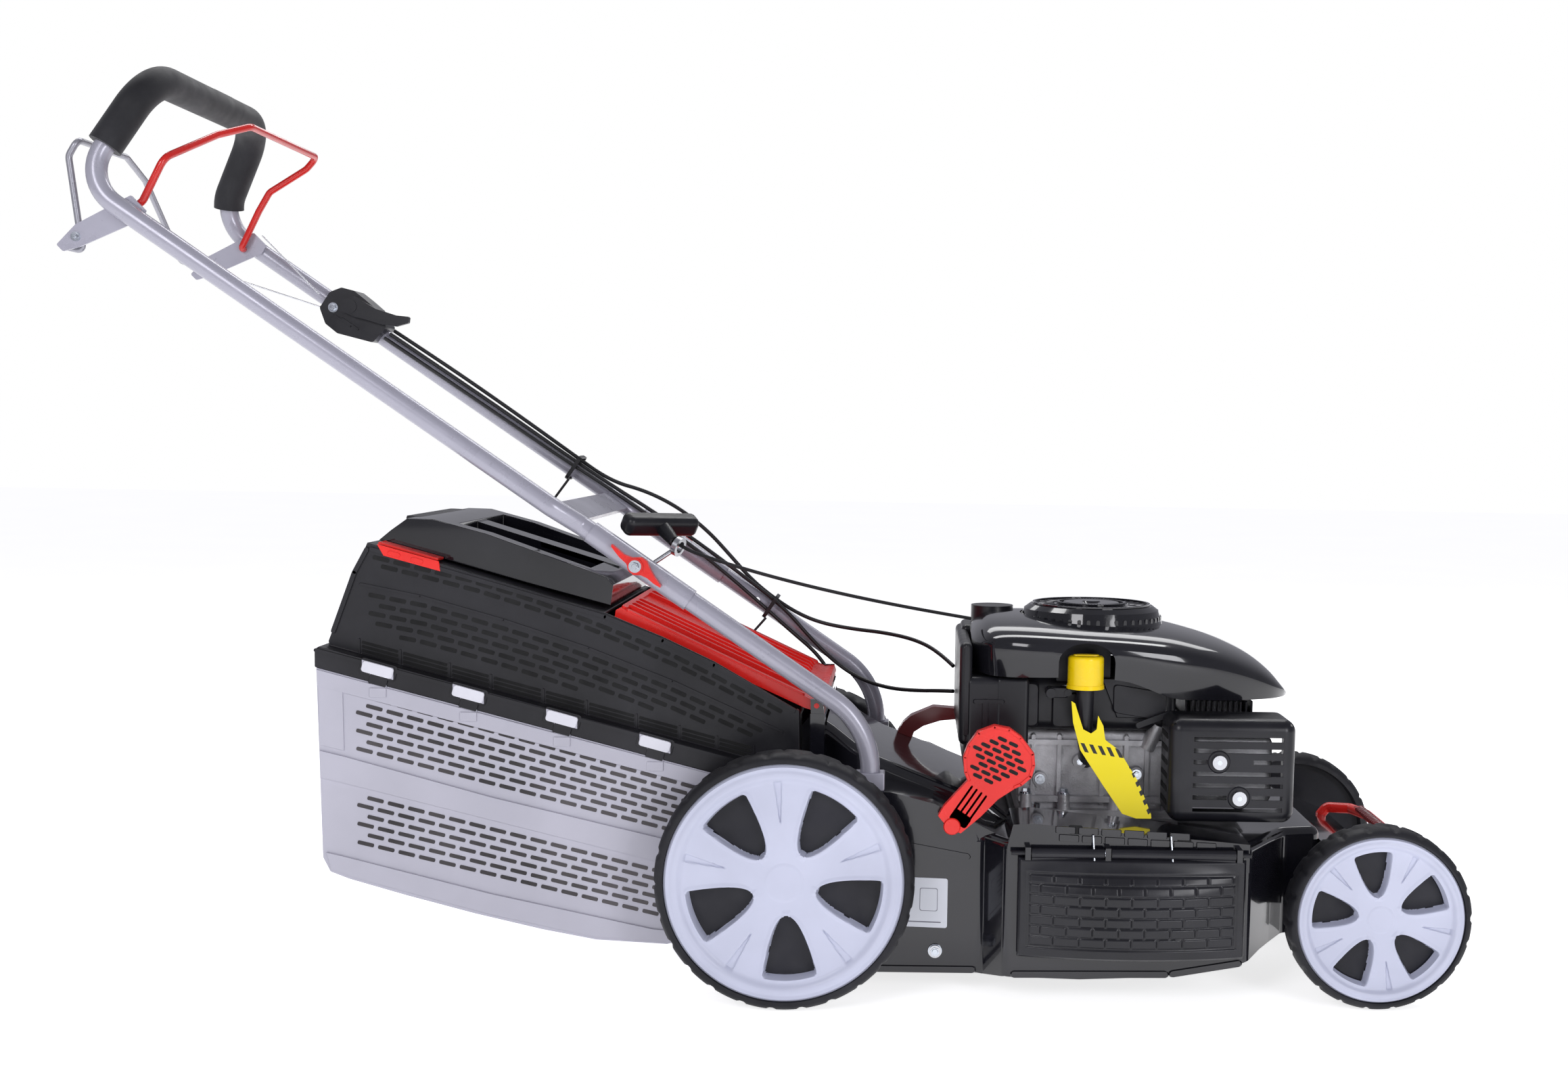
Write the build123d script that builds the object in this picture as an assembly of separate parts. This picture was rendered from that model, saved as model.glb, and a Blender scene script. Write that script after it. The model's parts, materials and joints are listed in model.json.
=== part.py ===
from build123d import *
import os
import math

# Petrol lawn mower, self propelled, with rear grass box.
# Frame: +X forward, +Y to the mower's left, +Z up, z = 0 on the ground.
# Geometry is laid out from the rear axle (x = 0) and every piece is moved by
# SHIFT_X at the end, so that the origin is under the middle of the machine.

# ---- driving dimensions (mm) ----
SHIFT_X = 23.244
WHEELBASE = 649.6
REAR_R = 140.0
FRONT_R = 101.5
REAR_Z = REAR_R
FRONT_Z = FRONT_R
REAR_CAP_R = 129.0
FRONT_CAP_R = 92.0
REAR_OUT = 274.7
FRONT_OUT = 248.0
REAR_W = 48.0
FRONT_W = 46.0
REAR_AXLE_R = 7.0
FRONT_AXLE_R = 6.0
FIT = 0.06

SHEET = 3.0
DECK_CX = 349.0
DECK_TOP = 181.0
DECK_BOT = 30.0

TUBE_D = 22.0
TUBE_WALL = 1.2
SLEEVE_D = 25.4
SLEEVE_ID = 22.5
HY_UP = 193.0
HY_LOW = 179.0
SLOPE = -0.678
LINE_X, LINE_Z = -113.0, 433.4
GRIP_D = 36.0
WIRE_RED = 8.0
WIRE_GREY = 7.0

CRANK_X = 349.0
GEAR_X = 22.0
PULLEY_R = 32.0
PULLEY_GROOVE = 25.2
BLADE_LEN = 456.0
CABLE_D = 5.0
ROPE_D = 4.0

os.makedirs("parts", exist_ok=True)
PARTS = {}


# ---- helpers ----
def pxz(y):
    return Plane(origin=(0, y, 0), x_dir=(1, 0, 0), z_dir=(0, -1, 0))


def face_xz(pts, y, r=0.0):
    sk = make_face(Polyline(*pts, close=True))
    if r:
        sk = fillet(sk.vertices(), r)
    return pxz(y) * sk


def prism(pts, y0, y1, r=0.0):
    """A polygon in X and Z, from y0 up to y1."""
    return extrude(face_xz(pts, y1, r), amount=y1 - y0)


def plan(pts, z0, z1, r=0.0, taper=0.0):
    """A polygon in X and Y, from z0 up to z1."""
    sk = make_face(Polyline(*pts, close=True))
    if r:
        sk = fillet(sk.vertices(), r)
    return extrude(Plane.XY.offset(z0) * sk, amount=z1 - z0, taper=taper)


def ycyl(x, z, r, y0, y1):
    return Pos(x, (y0 + y1) / 2, z) * Rot(90, 0, 0) * Cylinder(r, abs(y1 - y0))


def xcyl(y, z, r, x0, x1):
    return Pos((x0 + x1) / 2, y, z) * Rot(0, 90, 0) * Cylinder(r, abs(x1 - x0))


def zcyl(x, y, r, z0, z1):
    return Pos(x, y, (z0 + z1) / 2) * Cylinder(r, z1 - z0)


def box(x0, x1, y0, y1, z0, z1, r=0.0):
    b = Pos((x0 + x1) / 2, (y0 + y1) / 2, (z0 + z1) / 2) * Box(x1 - x0, y1 - y0, z1 - z0)
    if r:
        b = fillet(b.edges(), r)
    return b


def rod(pts, d, radius, di=0.0):
    path = FilletPolyline(*[Vector(*p) for p in pts], radius=radius) if len(pts) > 2 else Line(pts[0], pts[1])
    sec = Circle(d / 2) if not di else Circle(d / 2) - Circle(di / 2)
    return sweep(Plane(origin=path @ 0, z_dir=path % 0) * sec, path=path)


def straight(p, q, d):
    p, q = Vector(*p), Vector(*q)
    return extrude(Plane(origin=p, z_dir=(q - p)) * Circle(d / 2), amount=(q - p).length)


def mirror_y(part):
    return mirror(part, about=Plane.XZ)


def spin(profile, ox, oy, oz):
    """Turn a profile of (radius, y) points about the Y axis and put it at a centre."""
    sk = make_face(Polyline(*profile, close=True))
    return Pos(ox, oy, oz) * revolve(sk, axis=Axis.Y)


def put(name, *solids):
    out = []
    for s in solids:
        out += list(s.solids())
    PARTS[name] = out


def line_z(x):
    return LINE_Z + SLOPE * (x - LINE_X)


def lerp(a, b, t):
    return tuple(a[i] + (b[i] - a[i]) * t for i in range(3))


# ---- wheels ----
def window(r_in, r_out, w_in, w_out, ang, cx, cz, y0, y1):
    pts = [(r_in, -w_in / 2), (r_out * 0.97, -w_out / 2), (r_out, -w_out * 0.28), (r_out, w_out * 0.28), (r_out * 0.97, w_out / 2), (r_in, w_in / 2)]
    a = math.radians(ang)
    pts = [(cx + p * math.cos(a) - q * math.sin(a), cz + p * math.sin(a) + q * math.cos(a)) for p, q in pts]
    return prism(pts, y0, y1)


def wheel(prefix, cx, cz, r, cap_r, out, w, bore, first, side):
    """side -1 is the mower's right. Wheel: tread and core in one moulding, with a snap-on cap in front."""
    def prof(pts):
        return [(p, side * (out - q)) for p, q in pts]
    core = spin(prof([
        (bore, 16), (20, 16), (22, 22), (cap_r - 12, 22), (cap_r - 9, 9), (cap_r + 0.4, 9), (cap_r + 0.4, 2),
        (r - 6, 1.0), (r - 1.5, 6), (r, 12), (r, w - 12), (r - 1.5, w - 6), (r - 6, w), (cap_r - 2, w),
        (cap_r - 4, w - 12), (cap_r - 10, 27), (24, 27), (20, w - 2), (bore, w - 2)]), cx, 0, cz)
    cap = spin(prof([
        (0.0, 3.0), (24, 3.0), (26, 5.0), (cap_r - 13, 5.0), (cap_r - 9, 0.0), (cap_r, 0.0), (cap_r, 7.0),
        (cap_r - 10, 7.5), (cap_r - 14, 13), (0.0, 13)]), cx, 0, cz)
    for k in range(5):
        cap -= window(cap_r * 0.32, cap_r * 0.83, cap_r * 0.17, cap_r * 0.50, first + 72 * k, cx, cz,
                      min(side * (out + 2), side * (out - 20)), max(side * (out + 2), side * (out - 20)))
    put(prefix + "_wheel", core)
    put(prefix + "_hubcap", cap)


wheel("rear_right", 0, REAR_Z, REAR_R, REAR_CAP_R, REAR_OUT, REAR_W, REAR_AXLE_R + FIT, -88, -1)
wheel("rear_left", 0, REAR_Z, REAR_R, REAR_CAP_R, REAR_OUT, REAR_W, REAR_AXLE_R + FIT, -70, 1)
wheel("front_right", WHEELBASE, FRONT_Z, FRONT_R, FRONT_CAP_R, FRONT_OUT, FRONT_W, FRONT_AXLE_R + FIT, 25, -1)
wheel("front_left", WHEELBASE, FRONT_Z, FRONT_R, FRONT_CAP_R, FRONT_OUT, FRONT_W, FRONT_AXLE_R + FIT, 40, 1)

put("rear_axle", ycyl(0, REAR_Z, REAR_AXLE_R, -REAR_OUT + 15, REAR_OUT - 15),
    )
put("front_axle", ycyl(WHEELBASE, FRONT_Z, FRONT_AXLE_R, -FRONT_OUT + 15, FRONT_OUT - 15))

# ---- deck: pressed steel shell, open below, with a rear discharge tunnel ----
def deck_outline(g):
    """Half width of the deck along X, drawn in by g."""
    half = [(20, 198), (214, 198), (240, 236), (505, 236), (540, 180), (560, 150), (604, 140)]
    pts = [(x + (g if i == 0 else 0) - (g if i == len(half) - 1 else 0), y - g) for i, (x, y) in enumerate(half)]
    return [(x, -y) for x, y in pts] + [(x, y) for x, y in reversed(pts)]


def deck_solid(g):
    top = DECK_TOP - g
    low = -5 if g else 0
    skirt = plan(deck_outline(g), 23.6 + low, top, r=14 - g * 0.5)
    if not g:
        skirt = fillet(skirt.faces().sort_by(Axis.Z)[-1].edges(), 10)
    x0 = 20 - (8 if g else 0)
    tun = prism([(x0, 150), (x0, 303 - g), (46, 286 - g), (70, 267 - g), (98, 251 - g), (136, 236 - g), (175, 221 - g), (228, 200 - g), (252, 181 - g), (256, 150)],
                -125 + g, 125 - g)
    tun = fillet(tun.edges().filter_by(lambda e: abs(abs(e.center().Y) - (125 - g)) < 0.01 and e.center().Z > 182 - g and e.length > 20 and abs((e % 0).Z) < 0.95), 12 - g)
    side = prism([(20 + g, 150), (20 + g, 226 - g), (112, 226 - g), (160, 214 - g), (200, 196 - g), (236, 178 - g), (236, 150)], -198 + g, 198 - g)
    ramp = plan([(x, y) for x, y in deck_outline(g) if x > 230 and x < 530], 150, 230) & prism(
        [(200, 150), (234, 150), (246, 200 - g), (270, 201.5 - g), (322, 196 - g), (419, 188 - g), (475, 184 - g), (520, 180 - g), (520, 150)], -260, 260)
    ramp -= box(200, 560, -150 - g, 150 + g, 150, 230)
    return skirt + tun + side + ramp


deck = deck_solid(0) - deck_solid(SHEET)
# frame round the tunnel mouth, and the mouth itself
deck += box(20, 36, -158, 158, 222, 306)
deck -= box(10, 37, -122, 122, 196, 299)
deck -= box(10, 60, -48, 48, 90, 172)
# the rim climbs towards the nose and drops at the middle
deck -= prism([(10, 0), (10, 23.6), (216, 23.6), (240, 31), (322, 29), (385, 31.6), (422, 35), (459, 40), (496, 48), (525, 56), (560, 60), (610, 62), (610, 0)], -260, 260)
# side discharge opening behind the cover
deck -= box(275, 480, -245, -228, 60, 142)
# hole for the crankshaft and the engine
deck -= zcyl(CRANK_X, 0, 32, 150, 200)
# cheeks that carry the rear axle
for s in (-1, 1):
    y0, y1 = sorted((s * 194, s * 198))
    cheek = prism([(-24, 112), (24, 112), (60, 150), (60, 226), (24, 226), (-10, 178), (-24, 160)], y0, y1)
    deck += cheek
    deck -= ycyl(0, REAR_Z, REAR_AXLE_R + 0.1, s * 180, s * 210)
# pin for the height lever on the right side
deck += ycyl(180, 192, 4.5, -214, -196)
# lips that the side cover's rod runs through
for x in (262, 349, 492):
    deck += box(x - 3, x + 3, -249, -234, 164, 178) 
deck -= xcyl(-244, 171, 2.6, 220, 520)
put("deck_shell", deck)

put("side_cover_rod", xcyl(-244, 171, 2.5, 244, 505))

# side discharge cover, hanging on its rod
cover = box(272, 484, -246.5, -241.5, 56, 164)
cover += box(252, 272.5, -246.5, -241.5, 60, 160) + box(483.5, 500, -246.5, -241.5, 60, 160)
for x0, x1 in ((266, 345), (353, 488)):
    cover += xcyl(-244, 171, 6.0, x0, x1) + box(x0, x1, -247, -242, 160, 170)
cover -= box(345, 353, -250, -238, 157, 175)
cover -= xcyl(-244, 171, 2.56, 200, 540)
put("side_cover", cover)

# front carrier: holds the front axle ahead of the deck
car = prism([(590, 84), (676, 84), (690, 100), (676, 142), (640, 156), (590, 170)], -150, 150, r=6)
car -= prism([(605, 70), (664, 70), (676, 100), (664, 134), (605, 150)], -146, 146)
for s in (-1, 1):
    y0, y1 = sorted((s * 150, s * 196))
    car += prism([(624, 86), (676, 86), (676, 120), (650, 132), (624, 120)], y0, y1, r=6)
car -= ycyl(WHEELBASE, FRONT_Z, FRONT_AXLE_R + 0.1, -250, 250)
car -= box(580, 604.3, -155, 155, 60, 182)
put("front_carrier", car)

# front lifting handle, a red bar across the nose
fh = rod([(648, -84, 138), (664, -84, 158), (690, -68, 160), (704, -40, 158), (704, 40, 158), (690, 68, 160), (664, 84, 158), (648, 84, 138)], 13, 9)
fh -= prism([(590, 84), (676, 84), (690, 100), (676, 142), (640, 156), (590, 170)], -150, 150)
put("front_carry_handle", fh)

# rear grab handle, a flat red arch behind the engine
arch = prism([(118, 236), (117, 244), (124, 256), (134, 265), (162, 277), (193, 275), (222, 262), (238, 240), (240, 192), (226, 194), (224, 236), (210, 253), (190, 261),
              (171, 259), (150, 252), (138, 244), (134, 232)], 98, 118)
put("rear_carry_handle", (arch - deck_solid(0)).solids().sort_by(SortBy.VOLUME)[-1])

# ---- drive line ----
gear = box(-42, 42, -44, 44, 96, 150, r=8)
gear += zcyl(GEAR_X, 0, 6, 149, 169)
gear -= ycyl(0, REAR_Z, REAR_AXLE_R + 0.1, -60, 60)
put("drive_gearbox", gear)


def vee_pulley(x, bore):
    p = zcyl(x, 0, PULLEY_R, 152, 154.5) + zcyl(x, 0, PULLEY_GROOVE, 154.5, 163.5) + zcyl(x, 0, PULLEY_R, 163.5, 166)
    return p - zcyl(x, 0, bore, 150, 170) if bore else p


put("gearbox_pulley", vee_pulley(GEAR_X, 6 + FIT))
belt = Plane.XY.offset(155) * (Pos((GEAR_X + CRANK_X) / 2, 0) * Rectangle(CRANK_X - GEAR_X, 60) + Pos(GEAR_X, 0) * Circle(30) + Pos(CRANK_X, 0) * Circle(30))
hole = Plane.XY.offset(155) * (Pos((GEAR_X + CRANK_X) / 2, 0) * Rectangle(CRANK_X - GEAR_X, 51) + Pos(GEAR_X, 0) * Circle(25.5) + Pos(CRANK_X, 0) * Circle(25.5))
put("drive_belt", extrude(belt, amount=8) - extrude(hole, amount=8))

# crankshaft with its pulley, and the blade bolted under it
shaft = zcyl(CRANK_X, 0, 12.5, 64, 276) + vee_pulley(CRANK_X, 0) + zcyl(CRANK_X, 0, 30, 63, 72) + zcyl(CRANK_X, 0, 6, 46, 63)
put("crankshaft", shaft)
blade = box(CRANK_X - BLADE_LEN / 2, CRANK_X + BLADE_LEN / 2, -25, 25, 59, 63)
for s in (-1, 1):
    x0, x1 = sorted((CRANK_X + s * 140, CRANK_X + s * 222))
    y = 25 * s
    ya, yb = sorted((y - 3 * s, y + 0 * s))
    blade += Pos((x0 + x1) / 2, y - 4 * s, 68) * Rot(25 * s, 0, 0) * Box(x1 - x0, 3, 16)
blade -= zcyl(CRANK_X, 0, 6.1, 40, 70)
blade += zcyl(CRANK_X, 0, 14, 50, 59) - zcyl(CRANK_X, 0, 6.1, 40, 70)
put("blade", blade)

# ---- handle: lower tubes ----
def lower_tube(s):
    y = s * HY_LOW
    pts = [(-184, y, line_z(-184)), (88.5, y, line_z(88.5)), (88.5, y, 226.5)]
    t = rod(pts, TUBE_D, 95, TUBE_D - 2 * TUBE_WALL)
    # slot along the tube for the clamp bolt
    a, b = (-170, line_z(-170)), (-170 + 0.8277 * 44, line_z(-170 + 0.8277 * 44))
    d = (0.8277, -0.5612)
    n = (0.5612, 0.8277)
    h = 3.4
    q = [(a[0] - d[0] * 4 + n[0] * h, a[1] - d[1] * 4 + n[1] * h), (b[0] + d[0] * 4 + n[0] * h, b[1] + d[1] * 4 + n[1] * h),
         (b[0] + d[0] * 4 - n[0] * h, b[1] + d[1] * 4 - n[1] * h), (a[0] - d[0] * 4 - n[0] * h, a[1] - d[1] * 4 - n[1] * h)]
    t -= prism(q, min(y - 20, y + 20), max(y - 20, y + 20))
    if s > 0:
        t -= ycyl(-68, line_z(-68), 3.25, y - 20, y + 20)
    return t


put("lower_handle", lower_tube(-1), lower_tube(1))

# brackets that hold the lower tubes on the deck
mounts = []
for s in (-1, 1):
    y = s * HY_LOW
    y0, y1 = sorted((s * 166.5, s * 193))
    b = box(72, 105, y0, y1, 226.1, 245.5)
    b -= zcyl(88.5, y, TUBE_D / 2 + 0.05, 200, 300)
    mounts.append(b)
put("handle_mounts", *mounts)

# ---- upper handle ----
V1 = (-764.0, line_z(-764))
V2 = (-701.0, 992.0)
HY_BAR = 157.0
half = [(-232, HY_LOW, line_z(-232)), (-262, HY_UP, line_z(-262)), (V1[0], HY_UP, V1[1]), (V2[0], HY_BAR, V2[1])]
pts = [(x, -y, z) for x, y, z in half] + list(reversed(half))
pts = [(-214, -HY_LOW, line_z(-214))] + pts + [(-214, HY_LOW, line_z(-214))]
tube = rod(pts, TUBE_D, [18, 18, 48, 55, 55, 48, 18, 18], TUBE_D - 2 * TUBE_WALL)
for s in (-1, 1):
    y = s * HY_LOW
    a, b = (LINE_X, y, line_z(LINE_X)), (-222, y, line_z(-222))
    c = (-214, y, line_z(-214))
    sl = straight(a, b, SLEEVE_D) - straight(lerp(a, b, -0.05), c, SLEEVE_ID)
    sl -= straight(lerp(a, b, 0.9), lerp(a, b, 1.1), TUBE_D - 2 * TUBE_WALL)
    tube += sl
    tube -= ycyl(-170, line_z(-170), 3.06, y - 20, y + 20)
# pressed cross strip between the tubes
ca = math.degrees(math.atan(SLOPE))
strip = Pos(-252, 0, line_z(-252) - 1) * Rot(0, -ca, 0) * Box(34, 2 * (HY_UP - 6), 5)
strip -= rod([(-214, HY_LOW, line_z(-214)), (-232, HY_LOW, line_z(-232)), (-262, HY_UP, line_z(-262)), (-330, HY_UP, line_z(-330))], TUBE_D - 0.6, 18)
strip -= rod([(-214, -HY_LOW, line_z(-214)), (-232, -HY_LOW, line_z(-232)), (-262, -HY_UP, line_z(-262)), (-330, -HY_UP, line_z(-330))], TUBE_D - 0.6, 18)
tube += strip.solids().sort_by(SortBy.VOLUME)[-1]
put("upper_handle", tube)

A1, A2 = Vector(V1[0], HY_UP, V1[1]), Vector(V2[0], HY_BAR, V2[1])
leg = (A2 - A1).normalized()
g0 = A1 + leg * 46
down = Vector(0.8277, 0, -0.5612)
foam = rod([(g0.X, -g0.Y, g0.Z), (A2.X, -A2.Y, A2.Z), (A2.X, A2.Y, A2.Z), (A1.X, A1.Y, A1.Z), tuple(A1 + down * 60)], GRIP_D, [55, 55, 48], TUBE_D + 0.1)
cut_at = A1 + leg * 24 + down * 5
foam -= Plane(origin=cut_at, z_dir=(leg * 0.93 - down * 0.35).normalized()) * Pos(0, 0, -60) * Box(120, 120, 120)
put("foam_grip", foam.solids().sort_by(SortBy.VOLUME)[-1])

# plates that carry both bails, welded to the inner side of the tubes
RP = (-729.0, 841.0)
DP = (-776.0, 817.0)
plates = []
for s in (-1, 1):
    y0, y1 = sorted((s * 179.3, s * 181.9))
    p = prism([(-700, 846), (-716, 862), (-776, 830), (-797, 808), (-790, 801), (-772, 806), (-706, 836)], y0, y1, r=2)
    p -= ycyl(RP[0], RP[1], WIRE_RED / 2 + FIT, y0 - 5, y1 + 5)
    p -= ycyl(DP[0], DP[1], WIRE_GREY / 2 + FIT, y0 - 5, y1 + 5)
    plates.append(p)
put("bail_plates", *plates)

# brake bail, red wire: full height on the right leg, cross bar on the left half
put("brake_bail", rod([
    (RP[0], -181.7, RP[1]), (RP[0], -171, RP[1]), (-708, -171, 857), (-684, -171, 904), (-655, -96, 941), (-632, -56, 957), (-632, 171, 957),
    (-645, 171, 942), (-692, 171, 912), (-706, 171, 888), (RP[0], 171, RP[1]), (RP[0], 181.7, RP[1])], WIRE_RED,
    [5.5, 12, 18, 24, 16, 10, 22, 14, 12, 5.5]))

# drive bail, grey wire: cross bar on the right half, long slanting leg to the left
drive = rod([
    (DP[0], -184, DP[1]), (DP[0], -170, DP[1]), (-787, -170, 904), (-777, -170, 921), (-777, -49, 921), (-777, 1, 901), (-777, 60, 851),
    (-776, 98, 817), (DP[0], 184, DP[1])], WIRE_GREY, [6, 12, 8, 8, 16, 24, 18])
drive += rod([(DP[0], -170, DP[1]), (-772, -170, 802), (-797, -170, 807)], 6, 5)
put("drive_bail", drive)

# throttle housing on the left tube, and its lever
TP = (-588.0, 770.0)
hous = prism([(-616, 788), (-601, 794), (-585, 790), (-572, 780), (-558, 768), (-544, 745), (-562, 725), (-607, 736), (-622, 748), (-629, 768)], 166, 207, r=5)
hous -= straight((-700, HY_UP, line_z(-700)), (-500, HY_UP, line_z(-500)), TUBE_D + 0.14)
hous -= ycyl(TP[0], TP[1], 4 + FIT, 160, 180)
put("throttle_housing", hous)
lev = prism([(-600, 764), (-598, 778), (-583, 783), (-555, 767), (-530, 759.5), (-513, 758), (-514, 750), (-530, 745.5), (-549, 748), (-570, 754), (-584, 757)], 158, 165, r=2)
lev += ycyl(TP[0], TP[1], 4, 160, 178)
put("throttle_lever", lev)

# wing levers with their clamp bolts
BX, BZ = -170.0, line_z(-170)
for s, nm in ((-1, "right"), (1, "left")):
    ya, yb = sorted((s * 192.4, s * 202))
    w = Pos(BX, 0, BZ) * prism([(-25.8, 23.6), (-19.7, 18.7), (-12.3, 12.5), (-3.7, 9.3), (6.1, 9.8), (12.3, 5.6), (16, -2.9), (20.9, -11.5), (27.5, -20.6), (27, -23.1), (20.1, -18.9),
                                (12.8, -12.8), (6.1, -9.8), (-2.5, -9.6), (-7.4, -2.9), (-10.3, 3.2), (-17.2, 9.3), (-22.1, 15.5), (-26.3, 21.1)], ya, yb)
    ya, yb = sorted((s * 191.9, s * 204))
    w += ycyl(BX, BZ, 8.5, ya, yb)
    ya, yb = sorted((s * 160, s * 206))
    w += ycyl(BX, BZ, 3, ya, yb) 
    put("wing_lever_" + nm, w)

# rope guide: a bent wire on the right tube, ending in an eye
EYE = (-130.0, -150.0, 491.0)
AX = Vector(0.86, -0.36, -0.36).normalized()
g = rod([(-164, -163.5, 462), (-160, -158, 470), (-137, -152, 486)], 5, 6)
ring = Plane(origin=EYE, z_dir=AX) * Circle(11) - Plane(origin=EYE, z_dir=AX) * Circle(6.8)
g += extrude(ring, amount=3, both=True)
put("rope_guide", g)

# starter grip
GS = Vector(0.55, -0.65, -0.52).normalized()
GB = Vector(0.75, 0.66, -0.03).normalized()
GC = Vector(*EYE) - GS * 44
gp = Plane(origin=GC, x_dir=GB, z_dir=GS)
grip = gp * Box(96, 24, 22)
grip = fillet(grip.edges(), 8)
grip += extrude(gp.offset(8) * Circle(9), amount=26, taper=6)
grip -= extrude(gp.offset(-20) * Circle(ROPE_D / 2 + 1.4), amount=70)
put("starter_grip", grip)


# ---- cords ----
def cord(pts, d, name):
    """Straight runs joined by tangent arcs, each as large as its two runs allow."""
    radii = []
    for i in range(1, len(pts) - 1):
        a, b, c = Vector(*pts[i - 1]), Vector(*pts[i]), Vector(*pts[i + 1])
        u, v = b - a, c - b
        turn = math.radians(u.get_angle(v))
        radii.append(0.45 * min(u.length, v.length) / math.tan(turn / 2))
    path = FilletPolyline(*[Vector(*p) for p in pts], radius=radii)
    body = sweep(Plane(origin=path @ 0, z_dir=path % 0) * Circle(d / 2), path=path)
    vol = math.pi * d * d / 4 * path.length
    print(name, "length", round(path.length, 1), "least radius", round(min(radii), 1), "volume ratio", round(body.volume / vol, 4))
    return body


def along(x, y, dn):
    """A point beside the left tube's line, dn above its centre line."""
    return (x + 0.5612 * dn, y, line_z(x) + 0.8277 * dn)


THROTTLE = [along(-549, 188, 15), along(-497, 188.5, 16.6), along(-445, 188.5, 17.4), along(-385, 188, 17.2), along(-325, 187, 16.2),
            (-262, 186, 553), (-215, 184, 541), (-172, 181, 520), (-134, 178, 491), (-104, 176, 459), (-78, 175, 430), (-50, 174.5, 407), (-18, 173, 386.5),
            (14, 169, 374), (56, 156, 368), (100, 136, 366), (140, 111, 360), (168, 84, 348), (185.5, 60, 334)]
BRAKE = [along(-549, 180, 9.5), along(-497, 180.5, 10.4), along(-445, 180.5, 11.2), along(-385, 180, 11.6), along(-325, 179, 11.6),
         along(-265, 176, 13.0), along(-205, 170, 17.0), along(-150, 165.5, 17.5), along(-95, 164, 15.5), along(-40, 163, 12.2), (5, 161.5, 351),
         (36, 161, 322), (68, 146, 304), (105, 122, 296), (142, 98, 297), (168, 74, 301), (185.5, 50, 304)]
DRIVE = [along(-551, 177.4, 1.5), along(-499, 177.2, 2.6), along(-445, 176.6, 3.6), along(-385, 176, 4.4), along(-325, 174, 5.6),
         along(-270, 170, 8.5), along(-215, 163, 10.0), along(-160, 158, 10.0), along(-110, 157, 6), along(-62, 160, -1), along(-20, 163.5, -8),
         (12, 166, 333), (32, 168, 300), (40, 169.5, 264), (42, 170, 228)]
put("throttle_cable", cord(THROTTLE, CABLE_D, "throttle_cable"))
put("brake_cable", cord(BRAKE, CABLE_D, "brake_cable"))
put("drive_cable", cord(DRIVE, CABLE_D, "drive_cable"))

ROPE0, ROPE1 = (202.5, -42.0, 404.5), (EYE[0], EYE[1], EYE[2])
ROPE = [(202.5, -42.0, 404.5), (155, -57.5, 413.5), (105, -73.5, 423.6), (54, -90, 435), (4, -106, 447.5), (-44, -121.5, 461), (-90, -136.5, 475.6), EYE, tuple(Vector(*EYE) - GS * 23.6)]
put("starter_rope", cord(ROPE, ROPE_D, "starter_rope"))


# bare inner wires between the throttle housing and the two bails
put("bail_wires", straight((-632, 175, 785.5), (-703, 173.5, 858), 1.8), straight((-631, 174.5, 769.6), (-746, 174.5, 805), 1.8))


# cable ties: rectangular bands round the tube and the cables
def tie(x, y_c, lo_y, hi_y, lo_n, hi_n, tail):
    pl = Plane(origin=(x, 0, line_z(x)), x_dir=(0, 1, 0), z_dir=(0.8277, 0, -0.5612))
    sgn = 1 if (pl.y_dir.Z > 0) else -1
    cy, cn = (lo_y + hi_y) / 2, sgn * (lo_n + hi_n) / 2
    w, h = hi_y - lo_y, hi_n - lo_n
    o = pl * Pos(cy, cn) * RectangleRounded(w, h, 6)
    i = pl * Pos(cy, cn) * RectangleRounded(w - 3, h - 3, 4.6)
    b = extrude(o, amount=2.4, both=True) - extrude(i, amount=4, both=True)
    q = (x - 0.5612 * abs(lo_n), lo_y + 1.5, line_z(x) + 0.8277 * lo_n)
    b += straight((q[0] + 4, q[1], q[2]), (q[0] + tail[0], q[1] - 2, q[2] + tail[1]), 3.2)
    return b


put("upper_cable_tie", tie(-309, HY_UP, 167.5, 206, -13.5, 21.5, (-22, -36)))
put("lower_cable_tie", tie(-52, HY_LOW, 154, 192.5, -13.5, 20, (-22, -30)))

# ---- engine ----
case = box(256, 448, -95, 95, 181.1, 283.5, r=10) + box(262, 458, -108, 108, 181.1, 190)
case -= zcyl(CRANK_X, 0, 12.5 + FIT, 170, 278)
put("crankcase", case)
head = box(449, 526, -95, -5, 196, 296, r=5)
for k in range(5):
    head += box(446 + 2, 532, -98, -2, 212 + 21 * k, 216 + 21 * k)
head += box(456, 520, -84, -14, 295, 319, r=3)
put("cylinder_head", head)
put("blower_housing", box(242, 440, -112, 112, 283.6, 346, r=14))
put("fuel_tank", box(188, 202.5, -125, 95, 267, 385, r=7) + box(194, 240.5, -125, 95, 236, 345.5, r=8) + box(230, 268, -126, -113.5, 236, 345.5, r=5) + box(194, 262, 22, 95, 347, 390, r=6))
put("fuel_cap", zcyl(232, 58, 26, 390.5, 412))


def cowl_solid(g):
    side = [(204 + g, 348 - (12 if g else 0)), (206 + g, 392 - g), (224, 408.5 - g), (280, 409 - g), (433, 400 - g), (528 - g, 372 - g), (572 - g, 335 - g), (581 - g * 2, 320 - g), (560, 321 - (10 if g else 0)), (440, 323 - (12 if g else 0)), (370, 347 - (12 if g else 0))]
    outl = [(204 + g, 92), (228, 134 - g), (300, 150 - g), (400, 147 - g), (480, 126 - g), (545 - g, 82 - g), (581 - g, 28)]
    outl = [(x, -y) for x, y in outl] + [(x, y) for x, y in reversed(outl)]
    return prism(side, -160, 160) & plan(outl, 300, 420)


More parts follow.
